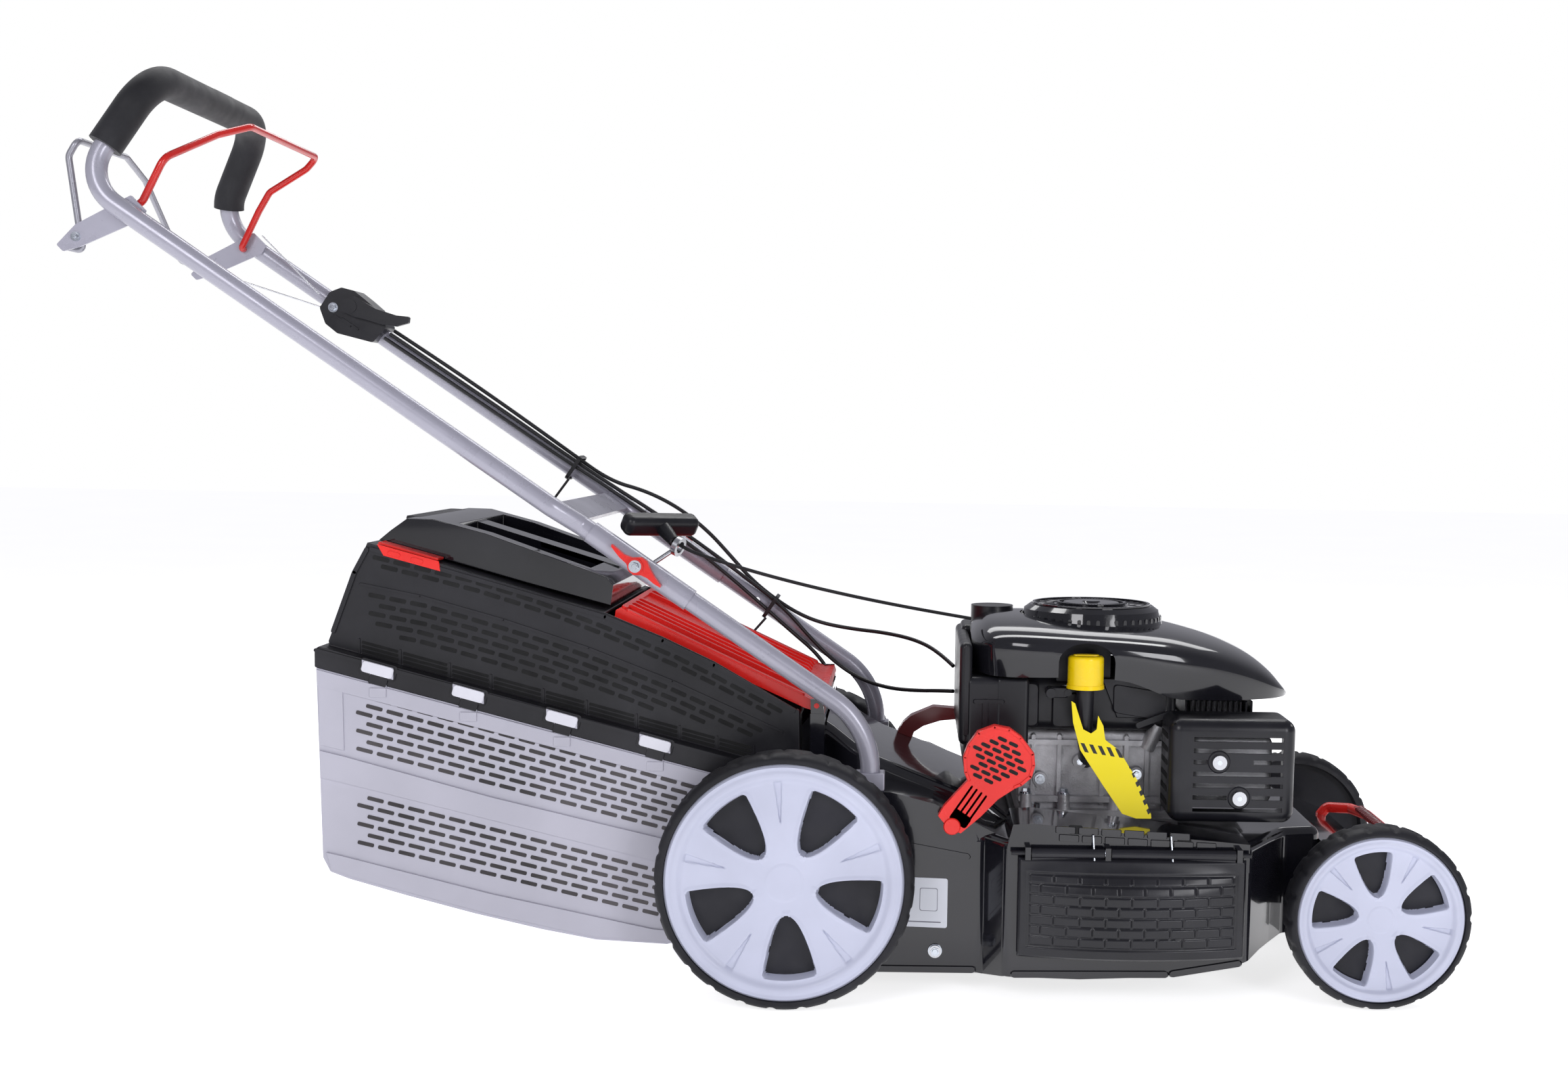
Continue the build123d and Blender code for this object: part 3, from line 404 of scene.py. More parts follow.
# ------------------------------------------------------------------ wheels
def wheel(prefix, cx, cz, R, capR, out, w, first, side, body):
    """Tyre with tread and core, and a dished cap with five windows."""
    nA = 240
    prof = [(8, 20), (20, 20), (24, 24), (capR - 14, 25), (capR - 10, 12), (capR + 0.2, 7), (capR + 0.6, 1.6),
            (R - 7, 0.9), (R - 4.5, 2.2), (R - 2.2, 5.0), (R - 0.8, 8.5), (R - 0.2, 12), (R, 16), (R, w / 2), (R, w - 16), (R - 0.2, w - 12), (R - 0.8, w - 8.5),
            (R - 2.2, w - 5), (R - 4.5, w - 2.2), (R - 7, w - 0.6), (capR - 2, w), (capR - 4, w - 12), (capR - 10, 29), (24, 29), (20, w - 2), (8, w - 2)]
    vs, fs = [], []
    lug = 26 if R > 120 else 22
    for i in range(nA):
        t = 2 * math.pi * i / nA
        ph = (t * lug / (2 * math.pi)) % 1.0
        for k, (r, q) in enumerate(prof):
            if 9 <= k <= 17:
                shift_ = 0.5 if q > w / 2 else 0.0
                g = ((ph + shift_) % 1.0)
                if g < 0.20:
                    r -= 1.7
                if k in (13,):
                    r -= 1.6
            vs.append(V(cx + r * math.cos(t), side * (out - q), cz + r * math.sin(t)))
    m = len(prof)
    for i in range(nA):
        j = (i + 1) % nA
        for k in range(m - 1):
            f = (i * m + k, j * m + k, j * m + k + 1, i * m + k + 1)
            fs.append(f if side < 0 else tuple(reversed(f)))
    fm = []
    for i in range(nA):
        for k in range(m - 1):
            fm.append(0 if 4 <= k <= 21 else 1)
    obj_from(prefix + "_tyre", vs, fs, [M["tyre_black"], M["core_black"]], body, True, fm, prefix + "_wheel", angle=40)

    # cap: polar grid with height
    def win(r, a):
        """signed distance inside a window, in mm (positive inside)."""
        best = -99.0
        for k in range(5):
            d = (a - math.radians(first + 72 * k) + math.pi) % (2 * math.pi) - math.pi
            x, y = r * math.cos(d), r * math.sin(d)
            if x <= 0:
                continue
            r0, r1 = capR * 0.283, capR * 0.812
            rr_ = math.hypot(x, y)
            tt = max(0.0, min(1.0, (rr_ - r0) / (r1 - r0)))
            half = capR * 0.222 * tt ** 0.5
            q = [(rr_ - r0) * 0.8, r1 - rr_, half - abs(y)]
            e = min(q)
            rad = capR * 0.028
            if q[1] < rad and q[2] < rad:
                e = rad - math.hypot(rad - q[1], rad - q[2])
            best = max(best, e)
        return best
    nR, nT = 92, 600
    vs, fs, fm = [], [], []
    rs = [capR * (i / (nR - 1)) for i in range(nR)]

    def sm(a, b, x):
        t = max(0.0, min(1.0, (x - a) / (b - a)))
        return t * t * (3 - 2 * t)
    for r in rs:
        q = r / capR
        base = 5.2
        base += -4.4 * sm(0.84, 0.905, q) + 0.9 * sm(0.93, 0.95, q) - 0.9 * sm(0.955, 0.975, q) + 3.6 * sm(0.975, 1.0, q)
        base += 0.55 * (sm(0.150, 0.162, q) - 0.5) + 0.5 * (1 - sm(0.0, 0.5, q))
        for k in range(nT):
            a = 2 * math.pi * k / nT
            h = base
            if 0.24 < q < 0.86:
                e = win(r, a)
                h += 13.5 * sm(-0.9, 1.4, e)
                h -= 0.9 * sm(-6, -1.5, e) * (1 - sm(-1.5, -0.4, e))
            # shallow tapered dimples on the spokes
            for kk in range(5):
                mid = math.radians(first + 36 + 72 * kk)
                d = (a - mid + math.pi) % (2 * math.pi) - math.pi
                if 0.49 < q < 0.87:
                    wdt = 0.001 * capR + 0.036 * capR * (q - 0.49) / 0.37
                    h += 2.2 * (1 - sm(wdt * 0.75, wdt * 1.0 + 0.3, abs(d * r))) * sm(0.49, 0.53, q) * (1 - sm(0.845, 0.862, q))
            h = min(h, 19.2)
            vs.append(V(cx + r * math.cos(a), side * (out - h), cz + r * math.sin(a)))
    for i in range(nR - 1):
        for k in range(nT):
            j = (k + 1) % nT
            f = (i * nT + k, (i + 1) * nT + k, (i + 1) * nT + j, i * nT + j)
            fs.append(f if side < 0 else tuple(reversed(f)))
            rm = (rs[i] + rs[i + 1]) / 2
            am = 2 * math.pi * (k + 0.5) / nT
            fm.append(1 if 0.27 < rm / capR < 0.84 and win(rm, am) > 1.2 else 0)
    obj_from(prefix + "_cap", vs, fs, [M["hub_grey"], M["core_black"]], body, True, fm, prefix + "_hubcap", angle=50)


wheel("rear_right", 0, 140, 140, 129, 274.7, 48, -86, -1, "rear_right")
wheel("rear_left", 0, 140, 140, 129, 274.7, 48, -70, 1, "rear_left")
wheel("front_right", 649.6, 101.5, 101.5, 92, 248, 46, 27, -1, "front_right")
wheel("front_left", 649.6, 101.5, 101.5, 92, 248, 46, 40, 1, "front_left")

# ------------------------------------------------------------------ cords
THROTTLE = [along(-549, 188, 15), along(-497, 188.5, 16.6), along(-445, 188.5, 17.4), along(-385, 188, 17.2), along(-325, 187, 16.2),
            (-262, 186, 553), (-215, 184, 541), (-172, 181, 520), (-134, 178, 491), (-104, 176, 459), (-78, 175, 430), (-50, 174.5, 407), (-18, 173, 386.5),
            (14, 169, 374), (56, 156, 368), (100, 136, 366), (140, 111, 360), (168, 84, 348), (185.5, 60, 334)]
BRAKE = [along(-549, 180, 9.5), along(-497, 180.5, 10.4), along(-445, 180.5, 11.2), along(-385, 180, 11.6), along(-325, 179, 11.6),
         along(-265, 176, 13.0), along(-205, 170, 17.0), along(-150, 165.5, 17.5), along(-95, 164, 15.5), along(-40, 163, 12.2), (5, 161.5, 351),
         (36, 161, 322), (68, 146, 304), (105, 122, 296), (142, 98, 297), (168, 74, 301), (185.5, 50, 304)]
DRIVE = [along(-551, 177.4, 1.5), along(-499, 177.2, 2.6), along(-445, 176.6, 3.6), along(-385, 176, 4.4), along(-325, 174, 5.6),
         along(-270, 170, 8.5), along(-215, 163, 10.0), along(-160, 158, 10.0), along(-110, 157, 6), along(-62, 160, -1), along(-20, 163.5, -8),
         (12, 166, 333), (32, 168, 300), (40, 169.5, 264), (42, 170, 228)]
EYE = Vector((-130.0, -150.0, 491.0))
GS = Vector((0.55, -0.65, -0.52)).normalized()
ROPE = [(202.5, -42.0, 404.5), (155, -57.5, 413.5), (105, -73.5, 423.6), (54, -90, 435), (4, -106, 447.5), (-44, -121.5, 461), (-90, -136.5, 475.6), tuple(EYE), tuple(EYE - GS * 23.6)]


def nurbs_length(ob):
    cu = ob.data.copy()
    cu.bevel_depth = 0
    tmp = bpy.data.objects.new("tmp_len", cu)
    me = bpy.data.meshes.new_from_object(tmp)
    L = sum((me.vertices[i + 1].co - me.vertices[i].co).length for i in range(len(me.vertices) - 1))
    bpy.data.meshes.remove(me)
    bpy.data.objects.remove(tmp)
    return L


for nm, pts, d, mt, lay, st in (("throttle_cable", THROTTLE, 5.0, "cable_black", "loose", "stiff"), ("brake_cable", BRAKE, 5.0, "cable_black", "loose", "stiff"),
                                ("drive_cable", DRIVE, 5.0, "cable_black", "loose", "stiff"), ("starter_rope", ROPE, 4.0, "rope_black", "taut", "limp")):
    ob = curve(nm + "_line", pts, d / 2, M[mt], "handle", nm, res=16)
    nurbs_length(ob)


# ------------------------------------------------------------------ grass box details
def joint_z(x):
    return 353.7 - 0.2545 * (x + 521)


def slot_line(B, pts, y, s, length, height, pitch, start, low_limit=None, depth=0.35):
    """Equal slots along a polyline in the side plane."""
    seg = []
    tot = 0.0
    for (xa, za), (xb, zb) in zip(pts[:-1], pts[1:]):
        L = math.hypot(xb - xa, zb - za)
        seg.append((tot, L, xa, za, (xb - xa) / L, (zb - za) / L))
        tot += L
    d = start + length / 2
    while d + length / 2 < tot:
        for t0, L, xa, za, ux, uz in seg:
            if t0 <= d <= t0 + L:
                x, z = xa + ux * (d - t0), za + uz * (d - t0)
                if low_limit is None or z - height > low_limit(x):
                    B.rrect((x, y, z), (ux, 0, uz), (-uz, 0, ux), length, height, height * 0.32, 0, depth if s < 0 else -depth, 0, 0, 2)
                break
        d += pitch


B = Builder()
for s in (-1, 1):
    y = s * 190.0
    for k in range(7):
        z0, z1 = 325.6 - 10.12 * k, 233.6 - 9.15 * k
        m_ = (z1 - z0) / 346.4
        slot_line(B, [(-477.8, z0), (-92, z0 + m_ * 385.8)], y, s, 18.4, 4.3, 23.1, 0 if k % 2 == 0 else 11.5)
    for k in range(6):
        z0, z1 = 212.4 - 10.48 * k, 132.8 - 9.82 * k
        m_ = (z1 - z0) / 328.6
        slot_line(B, [(-477.5, z0), (-108, z0 + m_ * 369.5)], y, s, 18.4, 4.3, 23.1, 11.5 if k % 2 == 0 else 0)
ob = B.make("box_slots_lower", [M["slot_grey"]], "catcher", "pale_plastic")

# ribs and pads of the lower box
B = Builder()
for s in (-1, 1):
    y = s * 190.0
    n = (0, s, 0)
    def strip(pts_top, pts_bot, h):
        poly = [(x, y, z) for x, z in pts_top] + [(x, y, z) for x, z in reversed(pts_bot)]
        if s > 0:
            poly = list(reversed(poly))
        B.prism(poly, n, -0.5, h, 0.7)
    strip([(-518, 262), (-492, 256), (-330, 213), (-150, 171), (-75, 154)], [(-517.5, 232), (-492, 226.5), (-330, 187), (-150, 144), (-86, 129)], 2.4)
    strip([(-512, 148), (-490, 143), (-330, 104), (-150, 66), (-100, 62)], [(-507, 129), (-480, 119.5), (-330, 80), (-214, 56), (-135, 52)], 2.0)
    strip([(-520.5, 352), (-300, 296), (-60, 235)], [(-519.8, 334), (-300, 279), (-62, 219)], 2.2)
    strip([(-519, 338), (-492, 331), (-491, 262), (-517.5, 268)], [(-519, 337.8), (-518.6, 300), (-518, 268), (-517.5, 267.9)], 1.4)
ob = B.make("box_ribs_lower", [M["pale_plastic"]], "catcher", "pale_plastic")

# clips, and the pockets of the flange that they snap into
B = Builder()
B2 = Builder()
for x in (-453, -354, -251.5, -149):
    z = joint_z(x)
    for s in (-1, 1):
        hh = 1.5 if s < 0 else -1.5
        B.rrect((x, s * 193.3, z + 16.5), (1, 0, -0.2647), (0.2647, 0, 1), 35, 12.6, 3.0, 0, hh, 0.8, 0)
        B2.rrect((x, s * 191.0, z + 4.5), (1, 0, -0.26), (0.26, 0, 1), 20, 11.2, 1.5, 0, 0.9 if s < 0 else -0.9, 0.4, 0)
        B2.rrect((x, s * 191.0, z + 16.5), (1, 0, -0.2647), (0.2647, 0, 1), 41, 17.5, 3.0, 0, 0.5 if s < 0 else -0.5, 0.3, 0)
ob = B.make("box_clips", [M["clip_white"]], "catcher", "pale_plastic")
ob = B2.make("clip_pockets", [M["box_black"]], "catcher", "black_plastic")

# black upper box: slot rows and frames on its flanks, flange and ribs
B = Builder()
for s in (-1, 1):
    y = s * 170.0
    row_a = [(-464, 475.2), (-409.7, 462.5), (-362.1, 452.0), (-315.0, 438.5), (-266.7, 422.6), (-220.3, 405.6), (-173.8, 387.6), (-127.2, 368.0), (-86.6, 348.5), (-10, 309)]
    row_b = [(-455, 465.0), (-399.3, 452.0), (-352.6, 440.5), (-305.5, 426.6), (-258.6, 411.6), (-211.3, 394.0), (-164.8, 375.0), (-118.2, 355.0), (-86, 339.5), (-20, 305)]
    slot_line(B, row_a, y, s, 18.6, 4.8, 23.3, 0)
    slot_line(B, row_b, y, s, 18.6, 4.8, 23.3, 0)
    mid = [(-469, 433.4), (-412.0, 422.8), (-366.8, 410.9), (-319.9, 397.8), (-272.7, 383.6), (-226.2, 368.0), (-181.2, 351.5), (-133.1, 332.6), (-86.3, 312.0), (-12, 278)]
    starts = (0, 11.5, -4, 7.5, 34, 60)
    for k in range(6):
        pts = [(px, pz - 10.2 * k) for px, pz in mid]
        slot_line(B, pts, y, s, 18.6, 4.8, 23.3, max(0, starts[k]), lambda x: 385.5 - 0.2597 * (x + 480.4) + 3.5)
ob = B.make("box_slots_upper", [M["slot_dark"]], "catcher", "black_plastic")

# fine horizontal grille between the slotted field and the flange
B = Builder()
B2 = Builder()
ribs_x = (-479.6, -434.3, -380.0, -334.2, -276.3, -228.3, -172.6, -124.7, -83.0, -42.0)
for s in (-1, 1):
    y = s * 170.0
    for xa, xb in zip(ribs_x[:-1], ribs_x[1:]):
        xm, L = (xa + xb) / 2, xb - xa - 4.0
        for k in range(5):
            z = 381.5 - 0.2597 * (xm + 480.4) - 4.6 * k
            B.rrect((xm, y, z), (1, 0, -0.2597), (0.2597, 0, 1), L, 3.3, 0.8, 0, 0.3 if s < 0 else -0.3, 0, 0, 2)
    for xr in ribs_x:
        B2.rrect((xr, y, 372 - 0.2597 * (xr + 480.4)), (0, 0, 1), (-1, 0, 0), 26, 1.8, 0.7, 0, 1.2 if s < 0 else -1.2, 0.4, 0)
ob = B.make("box_grille", [M["slot_dark"]], "catcher", "black_plastic")
ob = B2.make("box_grille_ribs", [M["box_black"]], "catcher", "black_plastic")
B = Builder()
for s in (-1, 1):
    def band(pts, wdt, h, yy):
        for (xa, za), (xb, zb) in zip(pts[:-1], pts[1:]):
            c = ((xa + xb) / 2, yy, (za + zb) / 2)
            L = math.hypot(xb - xa, zb - za)
            B.rrect(c, (xb - xa, 0, zb - za), (-(zb - za), 0, xb - xa), L + wdt * 0.8, wdt, wdt * 0.45, -0.3 if s < 0 else 0.3, h if s < 0 else -h, 0.5, 0)
    band([(-508, 392), (-484, 458), (-470, 484)], 5, 2.2, s * 170)
    band([(-466, 484), (-208, 413), (-144, 387.5), (-87, 361), (3, 311)], 4.5, 1.8, s * 170)
    band([(-478, 445), (-412, 432.5), (-320, 407.5), (-226, 377.5), (-133, 342), (-10, 287)], 2.6, 1.3, s * 170)
    band([(-521.5, 373.3), (-34, 250.5)], 4.2, 1.6, s * 190)
ob = B.make("box_ribs_upper", [M["box_black"]], "catcher", "black_plastic")

# indicator: turned-down front lip with two raised pads
B = Builder()
lip = [(-459, -170.8, 489.6), (-391, -170.8, 471.6), (-389, -170.8, 460.5), (-452, -170.8, 477.0)]
B.prism(list(reversed(lip)), (0, -1, 0), 0, 1.2, 0.5)
for x_, z_ in ((-440, 478.6), (-415, 472.0)):
    B.rrect((x_, -172.0, z_), (1, 0, -0.265), (0.265, 0, 1), 14, 5.5, 2.4, -0.2, 0.8, 0.4, 0)
ob = B.make("indicator_lip", [M["red_plastic"]], "indicator", "red_plastic")

# lid: grip recess walls, ribs on the top
B = Builder()
for k in range(-3, 4):
    if abs(k) < 1:
        continue
    B.rrect((-306, k * 34, 459), (1, 0, -0.262), (0, 1, 0), 120, 4, 1.8, 0, 5, 1.0, 0)
B.rrect((-430, 0, 514), (1, 0, -0.05), (0, 1, 0), 34, 210, 8, -2, 3.0, 1.5, 0)
ob = B.make("lid_ribs", [M["box_black"]], "catcher", "black_plastic")

# rear wall of the box: slots
B = Builder()
for rr in range(7):
    z = 318 - rr * 17
    for k in range(-6, 7):
        yy = k * 25 + (12 if rr % 2 else 0)
        if abs(yy) < 160:
            B.rrect((-521 + (350 - z) * 0.024, yy, z), (0, 1, 0), (0, 0, 1), 18, 5, 2.2, 0, -0.6, 0, 0, 2)
            B.rrect((-521 + (350 - z) * 0.024, yy, z), (0, 1, 0), (0, 0, 1), 18, 5, 2.2, 0, 0.6, 0, 0, 2)
ob = B.make("box_slots_rear", [M["slot_grey"]], "catcher", "pale_plastic")

# ------------------------------------------------------------------ rear flap: raised edges and hinge rolls
B = Builder()
d = Vector((217, 0, -100.5)).normalized()
for yy in (-145, 145):
    B.rrect((-88, yy, 371.5), d, (0, 1, 0), 222, 8, 3, -0.4, 2.2, 1.2, 0)
B.rrect((-192, 0, 420.0), d, (0, 1, 0), 6, 284, 2.6, -0.6, 2.2, 1.0, 0)
ob = B.make("flap_rolls", [M["red_plastic"]], "flap", "red_plastic")

# ------------------------------------------------------------------ side cover: brick relief
def smooth(a, b, x):
    t = max(0.0, min(1.0, (x - a) / (b - a)))
    return t * t * (3 - 2 * t)


NX, NZ = 248, 130
vs, fs = [], []
for i in range(NX + 1):
    x = 252.0 + i
    bw = 21.0 * max(0.0, 1 - ((x - 376) / 127.0) ** 2)
    for k in range(NZ + 1):
        z = 57 + 109.0 * k / NZ
        b_ = bw * (1 - 0.8 * smooth(126, 168, z)) * (0.82 + 0.18 * smooth(57, 90, z))
        inner = min(x - 261, 491 - x, z - 68, 152 - z)
        h_ = -1.6 * smooth(0, 1.8, inner)
        if inner > 3.0:
            row = int((z - 71) // 11.4)
            fz = (z - 71) - row * 11.4
            xo = (x - 262 + (14 if row % 2 else 0)) % 28
            h_ += 1.5 * smooth(0.3, 1.7, min(fz, 11.4 - fz, xo, 28 - xo, inner - 3.0))
        h_ -= 3.0 * (1 - smooth(0, 3.0, min(x - 252, 500 - x, z - 57, 166 - z)))
        vs.append(V(x, -(246.0 + b_ + h_), z))
for i in range(NX):
    for k in range(NZ):
        a_ = i * (NZ + 1) + k
        fs.append((a_, a_ + NZ + 1, a_ + NZ + 2, a_ + 1))
panel = obj_from("side_cover_panel", vs, fs, [M["cover_black"]], "side_flap", True, None, "side_cover", angle=60)
th = panel.modifiers.new("sheet", "SOLIDIFY")
th.thickness = 0.0025
th.offset = -1
B = Builder()
for x0, x1 in ((266, 345), (353, 488)):
    B.cyl((x0, -244, 171), (x1, -244, 171), 5.6, n=24)
    B.rrect(((x0 + x1) / 2, -246.0, 165), (1, 0, 0), (0, 0, 1), x1 - x0, 9, 1, -3, 0.4, 0.3, 0)
ob = B.make("cover_hinge", [M["cover_black"]], "side_flap", "black_gloss_plastic")

# upper row of bricks moulded in the deck's shoulder, and square holes
B = Builder()
for z, off, xa, xb in ((193, 0, 292, 446), (183.5, 12, 284, 466)):
    xx = xa
    while xx + 22 < xb:
        B.rrect((xx + 11 + off, -236.2, z - 0.045 * (xx - 340)), (1, 0, -0.04), (0, 0, 1), 22, 7.6, 1.2, 0, 1.4, 0.8, 0)
        xx += 25
ob = B.make("deck_bricks", [M["deck_black"]], "chassis", "deck_black")
B = Builder()
for x, z in ((314, 195.5), (433, 182.5)):
    B.rrect((x, -236.2, z), (1, 0, -0.04), (0, 0, 1), 15, 10, 1.5, 0, 0.5, 0, 0, 2)
ob = B.make("deck_holes", [M["slot_dark"]], "chassis", "deck_black")
# torsion spring legs and coil on the cover's rod
B = Builder()
for x in (333, 418):
    B.cyl((x, -239.5, 190), (x + 1.5, -249.5, 158), 1.3, n=12)
for k in range(7):
    pass
ob = B.make("cover_spring", [M["zinc"]], "chassis", "steel")
pts = []
for k in range(0, 61):
    t = 2 * math.pi * k / 10
    pts.append((345.6 + k * 0.11, -244 + 4.0 * math.cos(t), 171 + 4.0 * math.sin(t)))
curve("cover_spring_coil", pts, 0.9, M["zinc"], "chassis", res=4, bres=3)

# ------------------------------------------------------------------ deck trim
B = Builder()
# rolled lower edge along the skirt
for (xa, za), (xb, zb), yy in (((30, 27), (210, 27), 198.0), ((246, 34), (420, 36), 236.0), ((420, 36), (500, 50), 236.0)):
    for s in (-1, 1):
        L = math.hypot(xb - xa, zb - za)
        B.rrect(((xa + xb) / 2, s * yy, (za + zb) / 2), (xb - xa, 0, zb - za), (-(zb - za), 0, xb - xa), L, 7, 3, 0.3 if s > 0 else -0.3, (-2.6 if s > 0 else 2.6), 1.4, 0)
# stiffening step in the shoulder behind the cover
for s in (-1, 1):
    B.rrect((128, s * 198, 168), (1, 0, -0.18), (0, 0, 1), 150, 6, 2.8, 0, (1.6 if s < 0 else -1.6), 1.0, 0)
ob = B.make("deck_trim", [M["deck_black"]], "chassis", "deck_black")

# data label, left blank, on the right flank of the deck, held off by its own thickness
B = Builder()
B.rrect((135, -198.0, 103), (1, 0, -0.03), (0, 0, 1), 84, 56, 2.5, 0, 0.5, 0.2, 0)
B.rrect((156, -198.5, 106), (1, 0, -0.03), (0, 0, 1), 20, 26, 2, 0, 0.12, 0, 1)
B.rrect((156, -198.62, 106), (1, 0, -0.03), (0, 0, 1), 18.6, 24.6, 2, 0, 0.1, 0, 0)
for k, (w_, x_) in enumerate(((30, 117), (34, 119), (26, 115), (32, 118), (20, 112))):
    B.rrect((x_, -198.5, 118 - k * 6.5), (1, 0, -0.03), (0, 0, 1), w_, 1.6, 0.6, 0, 0.12, 0, 1)
B.rrect((140, -198.5, 81), (1, 0, -0.03), (0, 0, 1), 60, 1.4, 0.6, 0, 0.12, 0, 1)
ob = B.make("deck_label", [M["label"], M["label_grey"]], "chassis", "deck_black")

# ------------------------------------------------------------------ height lever: perforated head, ribbed stem
B = Builder()
hp = [(196, 258), (198, 278), (210, 294), (225, 300.5), (240, 297), (252, 288), (263, 272), (264.5, 262), (261, 250), (252, 243), (234, 238), (214, 236), (200, 248)]
ax = Vector((0.91, 0, -0.42)).normalized()
az = Vector((0.42, 0, 0.91)).normalized()
for rr in range(-5, 6):
    for k in range(-4, 5):
        c = Vector((231, -213.0, 268)) + ax * (k * 13.5 + (6.7 if rr % 2 else 0)) + az * (rr * 6.9)
        if all(inside(hp, c.x + ax.x * a + az.x * b, c.z + ax.z * a + az.z * b) for a, b in ((-5, 2), (5, 2), (-5, -2), (5, -2))):
            B.rrect(c, ax, az, 11, 4.0, 1.9, 0, 0.35, 0, 0, 2)
sd = Vector((0.56, 0, 0.83)).normalized()
sn = Vector((0.83, 0, -0.56)).normalized()
ob = B.make("lever_slots", [M["slot_dark"]], "cut_height", "red_plastic")
B = Builder()
for o_ in (-9.5, -3.2, 3.2, 9.5):
    B.rrect(Vector((199, -213.0, 216.5)) + sn * o_, sd, sn, 38, 2.4, 1.1, 0, 2.4, 0.8, 0)
B.rrect((189, -213, 201), sd, sn, 14, 22, 3, 0, 1.6, 0.8, 0)
B.cyl((180, -213.4, 192), (180, -215.0, 192), 9.5, 8.5, n=32)
ring = [(x_, z_) for x_, z_ in [(164.5, 203.5), (170.6, 214.2), (196.1, 242.9), (192.2, 252.3), (190.8, 269.2), (195.4, 282.4), (206.2, 297.6), (224.7, 305), (241.5, 301.9), (254.7, 292.7),
        (268.9, 274.2), (270.3, 261), (266.8, 247.7), (255.9, 238.1), (248.5, 235)]]
for (xa, za), (xb, zb) in zip(ring[2:-1], ring[3:]):
    L = math.hypot(xb - xa, zb - za)
    u = Vector((xb - xa, 0, zb - za)).normalized()
    w = Vector((-(zb - za), 0, xb - xa)).normalized()
    B.rrect(Vector(((xa + xb) / 2, -213.0, (za + zb) / 2)) - w * 2.0 * (1 if w.dot(Vector((231 - (xa + xb) / 2, 0, 268 - (za + zb) / 2))) < 0 else -1), u, w, L + 2, 3.2, 1.4, 0, 1.8, 0.8, 0)
ob = B.make("lever_ribs", [M["red_plastic"]], "cut_height", "red_plastic")

# ------------------------------------------------------------------ engine cowl: one smooth shell
stations = [
    # x, half width, bottom, shoulder, top
    (203, 84, 352, 372, 388), (210, 104, 350, 378, 397), (222, 126, 348, 384, 405.5), (245, 141, 348, 386, 408.5), (280, 149, 349, 385, 409),
    (330, 151, 349.5, 384, 406.5), (380, 149, 345, 381, 404), (430, 143, 327, 375, 399.5), (470, 133, 324, 368, 391), (505, 118, 322, 358, 380.5),
    (535, 99, 321, 346, 367), (558, 79, 320, 335, 350.5), (573, 58, 319.5, 327, 334), (580, 42, 319.4, 322.5, 325)]


def cat(p0, p1, p2, p3, t):
    return 0.5 * ((2 * p1) + (-p0 + p2) * t + (2 * p0 - 5 * p1 + 4 * p2 - p3) * t * t + (-p0 + 3 * p1 - 3 * p2 + p3) * t ** 3)


dense = []
for i in range(len(stations) - 1):
    p = [stations[max(0, min(len(stations) - 1, i + k))] for k in (-1, 0, 1, 2)]
    for t in (0, 0.25, 0.5, 0.75):
        dense.append([cat(p[0][c], p[1][c], p[2][c], p[3][c], t) for c in range(5)])
dense.append(list(stations[-1]))
vs, fs = [], []
K = 22
cols = []
for x, wv, zb, zs, zt in dense:
    ringp = []
    # side wall up to the shoulder crease, then a crowned top
    side = [(-wv * 0.965, zb), (-wv * 0.975, zb + (zs - zb) * 0.18), (-wv * 0.992, zb + (zs - zb) * 0.5), (-wv, zb + (zs - zb) * 0.82), (-wv * 0.995, zs - 0.6)]
    top = []
    for k in range(1, K + 1):
        t = k / K * math.pi / 2
        y_ = -wv * 0.99 * (math.cos(t) ** 0.86)
        z_ = zs + (zt - zs) * (math.sin(t) ** 0.92)
        top.append((y_, z_))
    half = side + top
    full = half + [(-y_, z_) for y_, z_ in reversed(half[:-1])]
    cols.append(len(full))
    vs += [V(x, y_, z_) for y_, z_ in full]
m_ = cols[0]
for i in range(len(dense) - 1):
    for k in range(m_ - 1):
        fs.append((i * m_ + k, i * m_ + k + 1, (i + 1) * m_ + k + 1, (i + 1) * m_ + k))
fs.append(tuple(range(m_)))
fs.append(tuple(reversed(range((len(dense) - 1) * m_, len(dense) * m_))))
cowl = obj_from("cowl_shell", vs, fs, [M["black_gloss_plastic"], M["core_black"]], "chassis", True, None, "engine_cowl", angle=48)


def cutter(name, build):
    B_ = Builder()
    build(B_)
    me = bpy.data.meshes.new(name)
    me.from_pydata([tuple(v) for v in B_.v], [], B_.f)
    bm = bmesh.new()
    bm.from_mesh(me)
    bmesh.ops.remove_doubles(bm, verts=bm.verts, dist=1e-6)
    bmesh.ops.recalc_face_normals(bm, faces=bm.faces)
    bm.to_mesh(me)
    bm.free()
    o = bpy.data.objects.new(name, me)
    bpy.context.scene.collection.objects.link(o)
    return o


def cut(ob, cuts):
    for c in cuts:
        mo = ob.modifiers.new("cut", "BOOLEAN")
        mo.operation = "DIFFERENCE"
        mo.solver = "EXACT"
        mo.object = c
    dg = bpy.context.evaluated_depsgraph_get()
    me = bpy.data.meshes.new_from_object(ob.evaluated_get(dg))
    ob.modifiers.clear()
    mats = [m for m in ob.data.materials]
    ob.data = me
    me.materials.clear()
    for m in mats:
        me.materials.append(m)
    for c in cuts:
        bpy.data.objects.remove(c)
    for p in me.polygons:
        p.use_smooth = True
    me.set_sharp_from_angle(angle=math.radians(42))


def arch(B_):
    pts = [(299, -120, 330), (363, -120, 330), (363, -120, 368)]
    for k in range(1, 12):
        t = math.pi * k / 12
        pts.append((331 + 32 * math.cos(t), -120, 368 + 21 * math.sin(t)))
    pts.append((299, -120, 368))
    B_.prism(pts, (0, 1, 0), 10, -60)


